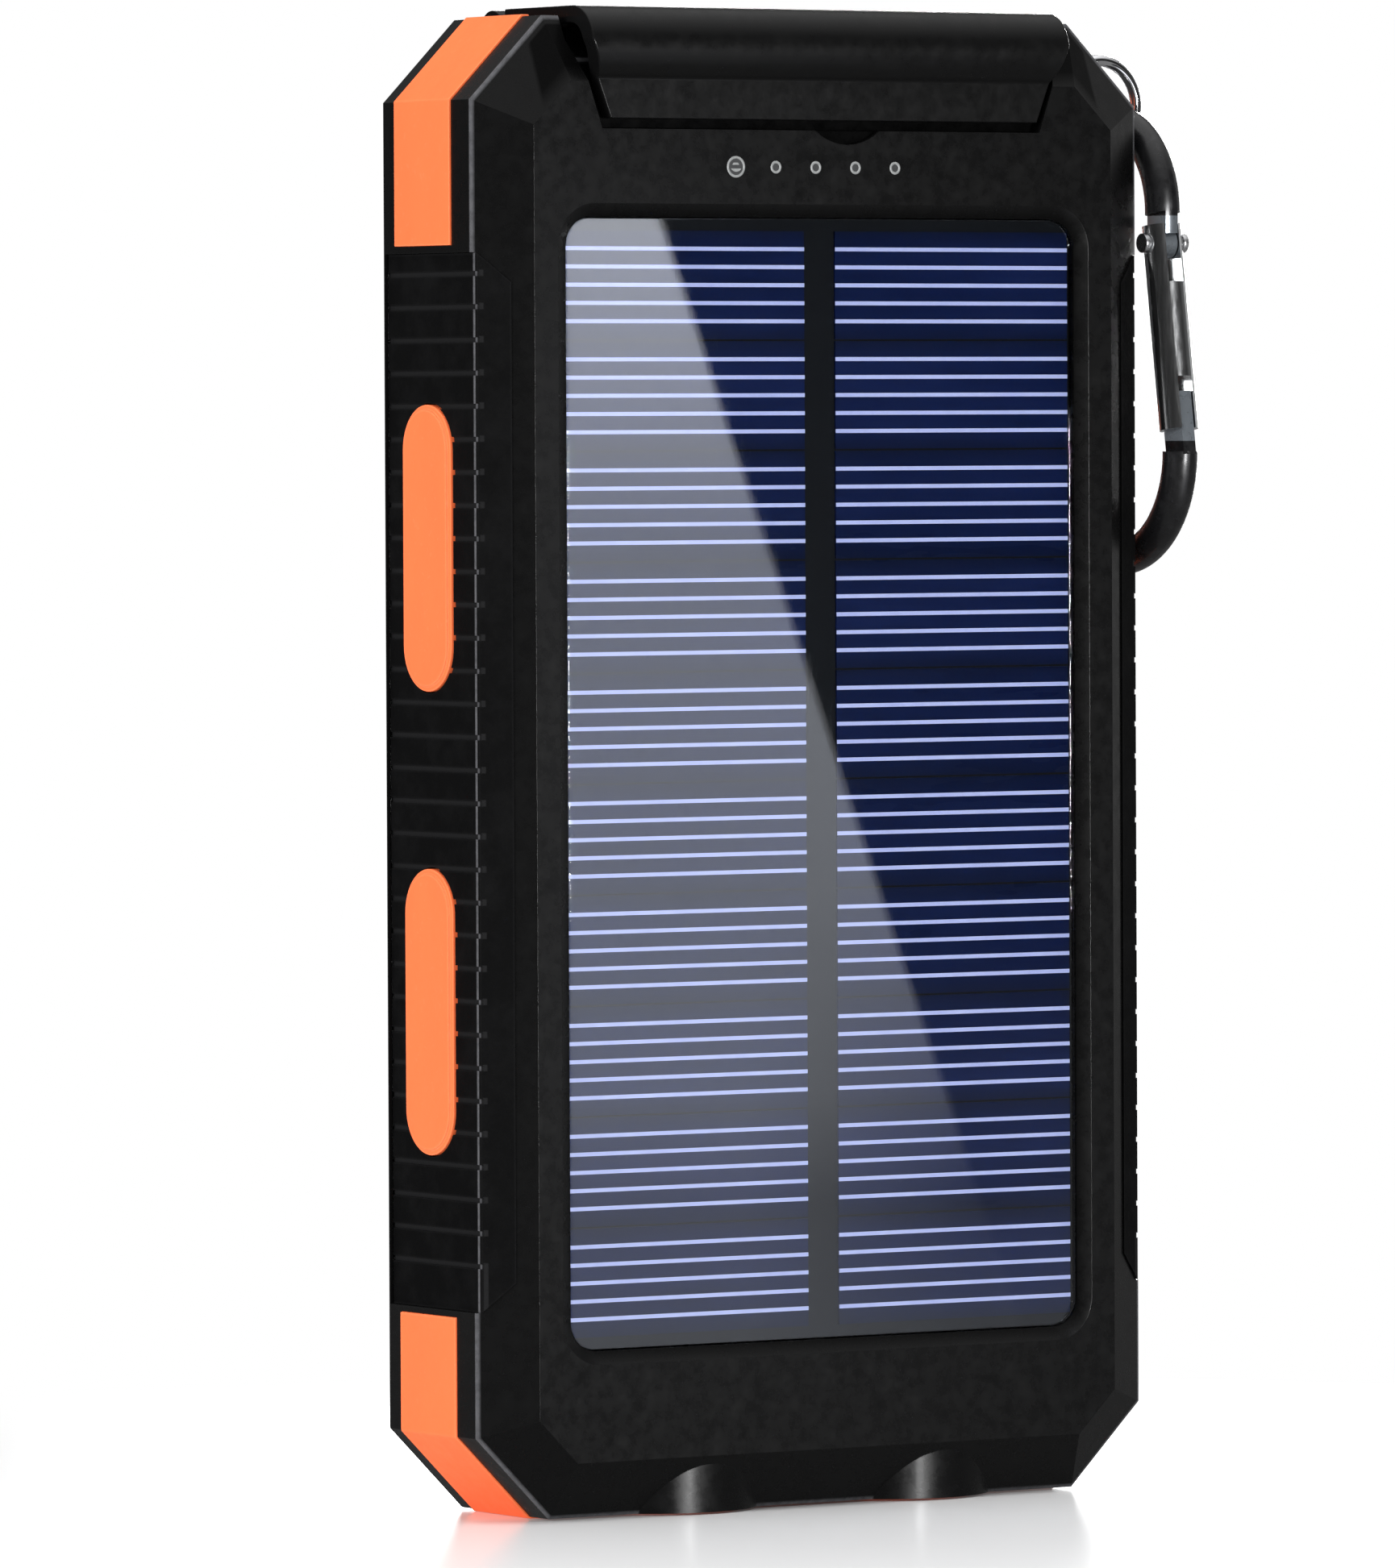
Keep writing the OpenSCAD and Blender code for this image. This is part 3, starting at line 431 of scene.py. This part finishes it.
def anodised_black():
    """Satin black anodising, with a paler cut face on the two tongues that the gate closes on."""
    f = Finish("anodised_black", (0.012, 0.012, 0.013), 0.3, Metallic=0.35, Specular_IOR_Level=0.6)
    rub = f.span(f.noise(3, 6, 0.7), 0.5, 0.8)
    base = f.blend(rub, (0.009, 0.009, 0.01), (0.03, 0.03, 0.032))
    low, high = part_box("carabiner_gate")
    middle = (low.x + high.x) / 2 / MM
    on_tongue = f.near(f.axis(0), middle, 0.78, 0.02)
    gate_side = f.span(f.axis(1), high.y / MM + 0.5, high.y / MM + 0.6, 1.0, 0.0)
    height = f.axis(2)
    at_top = f.near(height, high.z / MM - 2.5, 3.2, 0.1)
    at_foot = f.near(height, low.z / MM + 2.0, 2.8, 0.1)
    at_ends = f.maths("ADD", at_top, at_foot)
    cut = f.maths("MULTIPLY", f.maths("MULTIPLY", on_tongue, gate_side), at_ends)
    f.set("Base Color", f.blend(cut, base, (0.16, 0.18, 0.2)))
    f.set("Roughness", f.span(f.noise(0.9, 5), 0.3, 0.7, 0.24, 0.36))
    f.bump(f.noise(0.2, 3), 0.004)
    return f.material


# ---------- Compass and lamps ----------

def compass_black():
    return moulded("compass_black", (0.006, 0.006, 0.0065), 0.22, grain=0.5, depth=0.003, wear=2.5)


def compass_card():
    f = Finish("compass_card_ink", (0.007, 0.007, 0.009), 0.45)
    f.set("Base Color", f.blend(f.noise(1.0, 4), (0.005, 0.005, 0.007), (0.012, 0.01, 0.013)))
    f.bump(f.noise(0.15, 2), 0.003)
    return f.material


def print_ink(name, colour):
    f = Finish(name, colour, 0.55)
    f.set("Base Color", f.blend(f.noise(0.3, 3), tone(colour, 0.86), colour))
    f.bump(f.noise(0.08, 2), 0.003)
    return f.material


def emitter():
    """Lit lamp chip: yellow phosphor with a paler cell mottle, glowing white."""
    f = Finish("emitter", (0.95, 0.88, 0.5), 0.4)
    f.set("Base Color", f.blend(f.cells(0.4), (0.95, 0.8, 0.35), (1.0, 0.95, 0.7)))
    f.set("Emission Color", (1.0, 0.97, 0.92))
    f.set("Emission Strength", 9.0)
    return f.material


def white_board():
    f = Finish("white_board", (0.75, 0.77, 0.76), 0.5)
    f.set("Base Color", f.blend(f.noise(2, 3), (0.68, 0.7, 0.69), (0.8, 0.82, 0.8)))
    f.bump(f.noise(0.2, 2), 0.004)
    return f.material


# ---------- Inside ----------

def pouch():
    """Aluminised cell pouch: creased foil under a satin film."""
    f = Finish("cell_pouch", (0.5, 0.53, 0.56), 0.32, Metallic=0.75)
    creases = f.noise(5, 5, 0.7, stretch=(1, 1, 0.5))
    f.set("Base Color", f.blend(creases, (0.42, 0.45, 0.48), (0.58, 0.6, 0.63)))
    f.bump(creases, 0.12)
    return f.material


def foam():
    f = Finish("foam", (0.62, 0.61, 0.57), 0.9)
    f.set("Base Color", f.blend(f.cells(0.5), (0.5, 0.49, 0.46), (0.68, 0.67, 0.63)))
    f.bump(f.cells(0.35), 0.1)
    return f.material


def adhesive():
    f = Finish("adhesive_tape", (0.6, 0.59, 0.55), 0.6)
    f.set("Base Color", f.blend(f.noise(1.5, 4), (0.52, 0.51, 0.48), (0.66, 0.65, 0.61)))
    f.bump(f.noise(0.8, 3), 0.01)
    return f.material


def circuit(name, mask, copper):
    """Solder mask over copper tracks."""
    f = Finish(name, mask, 0.3)
    bricks = f.node("ShaderNodeTexBrick", {"Vector": f.place(1.0), "Scale": 0.6, "Mortar Size": 0.08})
    bricks.inputs["Color1"].default_value = (0, 0, 0, 1)
    bricks.inputs["Color2"].default_value = (0.25, 0.25, 0.25, 1)
    bricks.inputs["Mortar"].default_value = (1, 1, 1, 1)
    f.set("Base Color", f.blend(bricks.outputs["Color"], mask, copper))
    f.bump(bricks.outputs["Fac"], -0.03)
    return f.material


def green_board():
    return circuit("circuit_green", (0.008, 0.075, 0.028), (0.02, 0.16, 0.06))


def chip():
    return moulded("chip_black", (0.014, 0.014, 0.015), 0.4, grain=0.1, depth=0.004)


def wire(name, colour):
    f = Finish(name, colour, 0.42)
    f.set("Base Color", f.blend(f.noise(1.0, 3), tone(colour, 0.8), colour))
    f.bump(f.noise(0.3, 2), 0.006)
    return f.material


def red_wire():
    return wire("red_wire", (0.5, 0.02, 0.015))


def black_wire():
    return wire("black_wire", (0.015, 0.015, 0.016))


FINISHES = {
    "shell": shell_black, "cover_black": cover_black, "grip_rubber": grip_rubber, "orange": orange_plastic,
    "panel_clear": panel_clear, "cell_blue": silicon, "silver_line": silver_line, "board_black": board_black,
    "adhesive": adhesive, "seal": soft_seal, "steel": steel, "chrome": chrome,
    "anodised_black": anodised_black, "bare_aluminium": bare_aluminium, "compass_black": compass_black,
    "compass_card": compass_card, "brass": brass, "clear_plastic": clear_plastic, "reflector": reflector,
    "emitter": emitter, "white_board": white_board, "pouch": pouch, "foam": foam, "nickel": nickel,
    "green_board": green_board, "chip": chip, "tinned": tinned, "white_plastic": white_plastic,
    "gold": gold, "red_wire": red_wire, "black_wire": black_wire, "light_guide": light_guide,
}


def dress_nodes():
    """Gives each CAD node the finish of its material slot, made once for each slot."""
    made = {}
    for part in SUBPARTS:
        slot = part["material_slot"]
        if slot not in made:
            made[slot] = FINISHES[slot]()
        mesh = NODES[part["node"]].data
        mesh.materials.clear()
        mesh.materials.append(made[slot])


# ---------- Rounded edges ----------

WELD_DISTANCE = 0.001
FLAT_ANGLE = 0.4
SHARP_ANGLE = 9

ROUNDING = {
    "front_shell": 0.3, "rear_shell": 0.3, "corner_trim_left": 0.3, "corner_trim_right": 0.3,
    "bottom_band": 0.3, "grip_left": 0.12, "grip_right": 0.12, "grip_inserts": 0.3,
    "power_button": 0.3, "port_cover": 0.25, "compass_plate": 0.25, "compass_scale_ring": 0.15,
    "screw_plugs": 0.2, "carabiner_gate": 0.2, "gate_rivet": 0.12, "solar_cover": 0.12,
}


def round_edges(node, radius):
    """Joins the split faces of a CAD node, merges flat triangles and rounds its sharp edges."""
    obj = NODES[node]
    weld = obj.modifiers.new("join", "WELD")
    weld.merge_threshold = WELD_DISTANCE * MM
    flat = obj.modifiers.new("flat", "DECIMATE")
    flat.decimate_type = "DISSOLVE"
    flat.angle_limit = math.radians(FLAT_ANGLE)
    bevel = obj.modifiers.new("round", "BEVEL")
    bevel.width = radius * MM
    bevel.segments = 3
    bevel.limit_method = "ANGLE"
    bevel.angle_limit = math.radians(SHARP_ANGLE)
    bevel.use_clamp_overlap = True
    bevel.miter_outer = "MITER_ARC"
    shade = obj.modifiers.new("shade", "WEIGHTED_NORMAL")
    shade.weight = 100


# ---------- Small detail pieces ----------

def new_piece(name, mesh_builder, material, body):
    builder = bmesh.new()
    mesh_builder(builder)
    bmesh.ops.recalc_face_normals(builder, faces=builder.faces)
    mesh = bpy.data.meshes.new(name)
    builder.to_mesh(mesh)
    builder.free()
    mesh.materials.append(material)
    obj = bpy.data.objects.new(name, mesh)
    bpy.context.scene.collection.objects.link(obj)
    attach(obj, body)
    return obj


def add_prism(builder, outline, low, high, frame_matrix):
    """A flat shape, given as points in its own plane, with a small thickness from low to high."""
    bottom = [builder.verts.new(frame_matrix @ Vector((x, y, low))) for x, y in outline]
    top = [builder.verts.new(frame_matrix @ Vector((x, y, high))) for x, y in outline]
    builder.faces.new(bottom)
    builder.faces.new(top)
    count = len(outline)
    for i in range(count):
        j = (i + 1) % count
        builder.faces.new((bottom[i], bottom[j], top[j], top[i]))


def add_ring(builder, radius, thick, frame_matrix, turns=40, sides=10):
    """A round ring whose section is an ellipse, half as high as it is wide."""
    loops = []
    for i in range(turns):
        a = 2 * math.pi * i / turns
        loop = []
        for j in range(sides):
            b = 2 * math.pi * j / sides
            r = radius + thick * math.cos(b)
            spot = Vector((r * math.cos(a), r * math.sin(a), thick * math.sin(b) / 2))
            loop.append(builder.verts.new(frame_matrix @ spot))
        loops.append(loop)
    for i in range(turns):
        for j in range(sides):
            a, b = loops[i], loops[(i + 1) % turns]
            k = (j + 1) % sides
            builder.faces.new((a[j], b[j], b[k], a[k]))


def add_dome(builder, radius, height, frame_matrix, turns=12, steps=4):
    """A shallow round dot."""
    rings = []
    for s in range(steps):
        a = math.pi / 2 * s / steps
        r, z = radius * math.cos(a), height * math.sin(a)
        rings.append([
            builder.verts.new(frame_matrix @ Vector((
                r * math.cos(2 * math.pi * i / turns), r * math.sin(2 * math.pi * i / turns), z)))
            for i in range(turns)
        ])
    tip = builder.verts.new(frame_matrix @ Vector((0, 0, height)))
    builder.faces.new(rings[0])
    for low, high in zip(rings, rings[1:]):
        for i in range(turns):
            j = (i + 1) % turns
            builder.faces.new((low[i], low[j], high[j], high[i]))
    for i in range(turns):
        builder.faces.new((rings[-1][i], rings[-1][(i + 1) % turns], tip))


def add_text(builder, text, size, thick, frame_matrix):
    """Plain dial lettering, centred, as a thin solid."""
    curve = bpy.data.curves.new("lettering", "FONT")
    curve.body = text
    curve.size = size
    curve.extrude = thick / 2
    curve.align_x = "CENTER"
    curve.align_y = "CENTER"
    curve.resolution_u = 3
    holder = bpy.data.objects.new("lettering", curve)
    bpy.context.scene.collection.objects.link(holder)
    bpy.context.view_layer.update()
    mesh = bpy.data.meshes.new_from_object(holder.evaluated_get(bpy.context.evaluated_depsgraph_get()))
    mesh.transform(frame_matrix @ Matrix.Translation((0, 0, thick / 2)))
    builder.from_mesh(mesh)
    bpy.data.meshes.remove(mesh)
    bpy.data.objects.remove(holder)
    bpy.data.curves.remove(curve)


def facing_back(x, y, z):
    """Frame for print on the back: right is -X, up is +Z, out is +Y."""
    return Matrix(((-1, 0, 0, x), (0, 0, 1, y), (0, 1, 0, z), (0, 0, 0, 1)))


def facing_front(x, y, z):
    """Frame for marks on the front: right is +X, up is +Z, out is -Y."""
    return Matrix(((1, 0, 0, x), (0, 0, -1, y), (0, 1, 0, z), (0, 0, 0, 1)))


INK = 0.03 * MM


def compass_print():
    """Ticks, numbers and the four letters on the turning card, and dots on the fixed ring."""
    low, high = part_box("compass_card")
    hub_step = 0.4 * MM
    card_r = (high.x - low.x) / 2
    centre = facing_back((low.x + high.x) / 2, high.y - hub_step, (low.z + high.z) / 2)
    white = print_ink("white_print", WHITE_PRINT)
    red = print_ink("red_print", RED_PRINT)

    def at(angle, radius, shift=0.0):
        """Frame on the card, angle clockwise from the top, its own up pointing outward."""
        turned = centre @ Matrix.Rotation(-math.radians(angle), 4, "Z")
        return turned @ Matrix.Translation((0, radius, shift))

    def ticks(builder):
        for i in range(72):
            long_tick = i % 6 == 0
            half = (0.1 if i % 2 == 0 else 0.055) * MM
            length = (0.95 if long_tick else 0.75 if i % 2 == 0 else 0.5) * MM
            outline = [(-half, -length), (half, -length), (half, 0), (-half, 0)]
            add_prism(builder, outline, -INK, INK, at(i * 5, card_r - 0.15 * MM))

    def numbers(builder):
        for degrees in range(30, 360, 30):
            if degrees % 90:
                add_text(builder, str(degrees // 10), 1.15 * MM, INK, at(degrees, card_r - 1.75 * MM))

    def letters(builder):
        for letter, degrees in (("N", 0), ("E", 90), ("S", 180), ("W", 270)):
            add_text(builder, letter, 1.85 * MM, INK, at(degrees, card_r - 2.15 * MM))

    def north(builder):
        half, length = 0.42 * MM, 0.8 * MM
        outline = [(-half, -length), (half, -length), (0, 0)]
        add_prism(builder, outline, -INK, 1.6 * INK, at(0, card_r - 0.12 * MM))

    new_piece("compass_ticks", ticks, white, "compass_card")
    new_piece("compass_numbers", numbers, white, "compass_card")
    new_piece("compass_letters", letters, red, "compass_card")
    new_piece("compass_north_mark", north, red, "compass_card")

    ring_low, ring_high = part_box("compass_scale_ring")
    ring_r = (ring_high.x - ring_low.x) / 2 - 0.55 * MM

    def dots(builder):
        top = facing_back(centre.translation.x, ring_high.y, centre.translation.z)
        for i in range(36):
            size = (0.2 if i % 3 == 0 else 0.13) * MM
            turned = top @ Matrix.Rotation(math.radians(i * 10), 4, "Z")
            add_dome(builder, size, 0.05 * MM, turned @ Matrix.Translation((0, ring_r, -0.01 * MM)))

    new_piece("compass_ring_dots", dots, white, "case")

    def jewel(builder):
        hub = facing_back(centre.translation.x, high.y - 0.02 * MM, centre.translation.z)
        add_dome(builder, 1.25 * MM, 0.25 * MM, hub, turns=40, steps=10)

    cap = metal("pivot_cap", (0.35, 0.4, 0.48), 0.25)
    new_piece("compass_pivot_cap", jewel, cap, "compass_card")


LIGHT_COUNT = 5


def indicator_marks():
    """Light ring round each of the five charge lights, the first one larger with a plain bar symbol."""
    low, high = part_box("light_guide")
    first_r, dot_r, wire_r, symbol_r = 1.0 * MM, 0.6 * MM, 0.13 * MM, 0.62 * MM
    symbol_high = 0.06 * MM
    start, end = low.x + first_r, high.x - dot_r
    z = (low.z + high.z) / 2
    turns = [math.radians(a) for a in range(200, 341, 20)]
    mound = [(symbol_r * math.cos(a), symbol_r * math.sin(a) * 0.8) for a in turns]
    bar = [(x * MM, y * MM) for x, y in ((-0.45, 0.2), (0.35, 0.2), (0.2, 0.42), (-0.3, 0.42))]
    f = Finish("indicator_grey", (0.3, 0.31, 0.31), 0.4)
    f.set("Base Color", f.blend(f.noise(0.3, 3), (0.2, 0.21, 0.21), (0.42, 0.43, 0.43)))
    f.bump(f.noise(0.1, 2), 0.01)

    def rings(builder):
        for i in range(LIGHT_COUNT):
            x = start + (end - start) * i / (LIGHT_COUNT - 1)
            spot = facing_front(x, low.y, z)
            if i == 0:
                add_ring(builder, first_r * 0.95, wire_r, spot)
                add_prism(builder, mound, 0, symbol_high, spot)
                add_prism(builder, bar, 0, symbol_high, spot)
            else:
                add_ring(builder, dot_r * 0.85, wire_r, spot)

    new_piece("indicator_rings", rings, f.material, "case")


# ---------- Stage ----------

def studio_world():
    """White to the camera; a dim studio, brighter above and to the right, in reflections and as fill."""
    world = bpy.data.worlds.new("studio")
    bpy.context.scene.world = world
    world.use_nodes = True
    nodes, links = world.node_tree.nodes, world.node_tree.links
    nodes.clear()
    output = nodes.new("ShaderNodeOutputWorld")
    path = nodes.new("ShaderNodeLightPath")
    coords = nodes.new("ShaderNodeTexCoord")
    split = nodes.new("ShaderNodeSeparateXYZ")
    links.new(coords.outputs["Generated"], split.inputs[0])

    def background(strength):
        made = nodes.new("ShaderNodeBackground")
        made.inputs["Color"].default_value = (1, 1, 1, 1)
        if isinstance(strength, bpy.types.NodeSocket):
            links.new(strength, made.inputs["Strength"])
        else:
            made.inputs["Strength"].default_value = strength
        return made.outputs[0]

    def span(value, low, high, out_low, out_high):
        made = nodes.new("ShaderNodeMapRange")
        limits = {"From Min": low, "From Max": high, "To Min": out_low, "To Max": out_high}
        for key, number in limits.items():
            made.inputs[key].default_value = number
        links.new(value, made.inputs["Value"])
        return made.outputs[0]

    def add(a, b):
        made = nodes.new("ShaderNodeMath")
        made.operation = "ADD"
        links.new(a, made.inputs[0])
        links.new(b, made.inputs[1])
        return made.outputs[0]

    def mix(factor, a, b):
        made = nodes.new("ShaderNodeMixShader")
        links.new(factor, made.inputs[0])
        links.new(a, made.inputs[1])
        links.new(b, made.inputs[2])
        return made.outputs[0]

    right = span(split.outputs[0], 0.75, 1.0, 0.01, 0.1)
    above = span(split.outputs[2], 0.45, 0.9, 0.01, 1.3)
    seen_in_gloss = background(add(right, above))
    shade = mix(path.outputs["Is Glossy Ray"], background(0.55), seen_in_gloss)
    links.new(mix(path.outputs["Is Camera Ray"], shade, background(1.0)), output.inputs[0])


def softbox(name, place, aim, size, power, gloss_only=False, diffuse_only=False):
    light = bpy.data.lights.new(name, "AREA")
    light.shape = "RECTANGLE"
    light.size, light.size_y = size
    light.energy = power
    obj = bpy.data.objects.new(name, light)
    bpy.context.scene.collection.objects.link(obj)
    obj.location = place
    obj.rotation_mode = "QUATERNION"
    obj.rotation_quaternion = (Vector(aim) - Vector(place)).to_track_quat("-Z", "Y")
    obj.visible_diffuse = not gloss_only
    obj.visible_glossy = not diffuse_only


FLOOR_HALF = 3.0
FLOOR_FADE = 0.16
FLOOR_IN_GLOSS = 0.22


def pale_floor():
    """Pale, faintly glossy floor that fades into the white of the background."""
    mesh = bpy.data.meshes.new("floor")
    corners = [(-1, -1), (1, -1), (1, 1), (-1, 1)]
    points = [(x * FLOOR_HALF, y * FLOOR_HALF, CAD_BOX[0].z) for x, y in corners]
    mesh.from_pydata(points, [], [(0, 1, 2, 3)])
    floor = bpy.data.objects.new("floor", mesh)
    bpy.context.scene.collection.objects.link(floor)
    f = Finish("floor_pale", (0.9, 0.9, 0.91), 0.2, Specular_IOR_Level=0.3)
    f.set("Roughness", f.span(f.noise(400, 2), 0.3, 0.7, 0.16, 0.24))
    f.set("Base Color", f.blend(f.noise(900, 2), (0.9, 0.9, 0.905), (0.93, 0.93, 0.935)))
    position = f.node("ShaderNodeNewGeometry").outputs["Position"]
    away = f.node("ShaderNodeVectorMath", {0: position}, operation="LENGTH").outputs["Value"]
    reach = {"Value": away, "From Min": 0.0, "From Max": FLOOR_FADE}
    fade = f.node("ShaderNodeMapRange", reach, interpolation_type="SMOOTHSTEP")
    white = f.node("ShaderNodeEmission", {"Color": (1, 1, 1, 1), "Strength": 1.0})
    dim = f.node("ShaderNodeEmission", {"Color": (1, 1, 1, 1), "Strength": FLOOR_IN_GLOSS})
    path = f.node("ShaderNodeLightPath")
    near = f.node("ShaderNodeMixShader", {0: fade.outputs[0], 1: f.shader.outputs[0], 2: white.outputs[0]})
    glossy = path.outputs["Is Glossy Ray"]
    seen = f.node("ShaderNodeMixShader", {0: glossy, 1: near.outputs[0], 2: dim.outputs[0]})
    f.links.new(seen.outputs[0], f.output.inputs["Surface"])
    mesh.materials.append(f.material)


# ---------- Camera ----------

YAW = math.radians(33.0)
ROLL = math.radians(-0.26)
CAMERA_DISTANCE = 1.219
CAMERA_HEIGHT = 0.1092
LENS = 277.2
SENSOR = 36.0
AIM = (-0.00601, -0.03014)


def product_camera():
    forward = Vector((math.sin(YAW), math.cos(YAW), 0))
    right = Vector((math.cos(YAW), -math.sin(YAW), 0))
    up = Vector((0, 0, 1))
    place = up * CAMERA_HEIGHT - forward * CAMERA_DISTANCE
    aim = (forward + right * AIM[0] + up * AIM[1]).normalized()
    level_right = aim.cross(up).normalized()
    level_up = level_right.cross(aim)
    rolled_right = level_right * math.cos(ROLL) + level_up * math.sin(ROLL)
    rolled_up = level_up * math.cos(ROLL) - level_right * math.sin(ROLL)
    data = bpy.data.cameras.new("camera")
    data.lens = LENS
    data.sensor_width = SENSOR
    data.sensor_fit = "AUTO"
    data.clip_start, data.clip_end = 0.01, 20
    camera = bpy.data.objects.new("camera", data)
    bpy.context.scene.collection.objects.link(camera)
    rotation = Matrix((rolled_right, rolled_up, -aim)).transposed().to_4x4()
    camera.matrix_world = Matrix.Translation(place) @ rotation
    bpy.context.scene.camera = camera
    return place


CARD_REACH = 1.12
WEDGE_SLOPE = 0.709
WEDGE_TOP = 0.186
CARD_LEVELS = ((0.0, 0.3), (0.12, 0.55), (0.22, 1.1), (0.45, 1.4), (0.72, 1.7), (1.0, 3.6))
FOOT_LEVELS = ((0.0, 0.35), (0.12, 0.13), (0.35, 0.02), (1.0, 0.0))


def reflected_card(eye):
    """A card seen only in the panel: a pale wedge that narrows downward, and a faint glow at the foot."""
    low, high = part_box("solar_cover")
    plane = low.y
    mirrored = Vector((eye.x, 2 * plane - eye.y, eye.z))
    corners = ((0, 0), (1, 0), (1, 1), (0, 1))
    points = []
    for u, v in corners:
        spot = Vector((low.x + u * (high.x - low.x), plane, low.z + v * (high.z - low.z)))
        points.append(mirrored + (spot - mirrored) * CARD_REACH)
    mesh = bpy.data.meshes.new("reflection_card")
    mesh.from_pydata(points, [], [(0, 1, 2, 3)])
    grid = mesh.uv_layers.new(name="panel")
    for loop, corner in zip(grid.data, corners):
        loop.uv = corner
    card = bpy.data.objects.new("reflection_card", mesh)
    bpy.context.scene.collection.objects.link(card)
    f = Finish("card_glow", (1, 1, 1), 1.0)
    split = f.node("ShaderNodeSeparateXYZ", {0: f.node("ShaderNodeTexCoord").outputs["UV"]})
    u, v = split.outputs[0], split.outputs[1]

    def levels(stops, peak):
        ramp = f.node("ShaderNodeValToRGB", {0: v})
        elements = ramp.color_ramp.elements
        while len(elements) < len(stops):
            elements.new(0.5)
        for element, (place, level) in zip(elements, stops):
            element.position = place
            element.color = (level / peak, level / peak, level / peak, 1)
        return f.maths("MULTIPLY", ramp.outputs[0], peak)

    edge = f.maths("ADD", f.maths("MULTIPLY", f.maths("SUBTRACT", 1.0, v), WEDGE_SLOPE), WEDGE_TOP)
    inside = f.span(f.maths("SUBTRACT", u, edge), -0.004, 0.004, 1.0, 0.0)
    fade = f.maths("MULTIPLY", f.span(u, 0.35, 0.8), f.span(v, 0.4, 0.12, 0.0, 0.85))
    inside = f.maths("MULTIPLY", inside, f.maths("SUBTRACT", 1.0, fade))
    wedge = f.maths("MULTIPLY", inside, levels(CARD_LEVELS, 3.6))
    strength = f.maths("ADD", wedge, levels(FOOT_LEVELS, 0.35))
    glow = f.node("ShaderNodeEmission", {"Color": (0.92, 0.94, 1.0, 1), "Strength": strength})
    f.links.new(glow.outputs[0], f.output.inputs["Surface"])
    mesh.materials.append(f.material)
    card.visible_camera = False
    card.visible_diffuse = False
    card.visible_transmission = False
    card.visible_shadow = False


def main():
    dress_nodes()
    for node, radius in ROUNDING.items():
        round_edges(node, radius)
    compass_print()
    indicator_marks()
    studio_world()
    pale_floor()
    middle = (CAD_BOX[0] + CAD_BOX[1]) / 2
    lamps = Vector((0, CAD_BOX[0].y, CAD_BOX[0].z))
    softbox("key_left", (-1.15, -0.3, 0.28), middle, (0.7, 0.5), 8.8, diffuse_only=True)
    softbox("strip_front", (0.07, -1.23, 0.06), lamps, (0.12, 0.1), 19, gloss_only=True)
    softbox("top", (-0.1, -0.25, 1.1), middle, (0.8, 0.5), 7, diffuse_only=True)
    softbox("right", (1.1, 0.1, 0.3), middle, (0.5, 0.9), 0.5)
    softbox("back", (0.85, 0.95, 0.25), middle, (0.7, 0.45), 8)
    softbox("key_back", (0.5, 1.15, 0.35), middle, (0.7, 0.5), 13, diffuse_only=True)
    softbox("back_strip", (0.8, 0.95, 0.3), middle, (0.12, 0.4), 12, gloss_only=True)
    eye = product_camera()
    reflected_card(eye)
    bpy.context.scene.view_settings.view_transform = "Standard"


main()
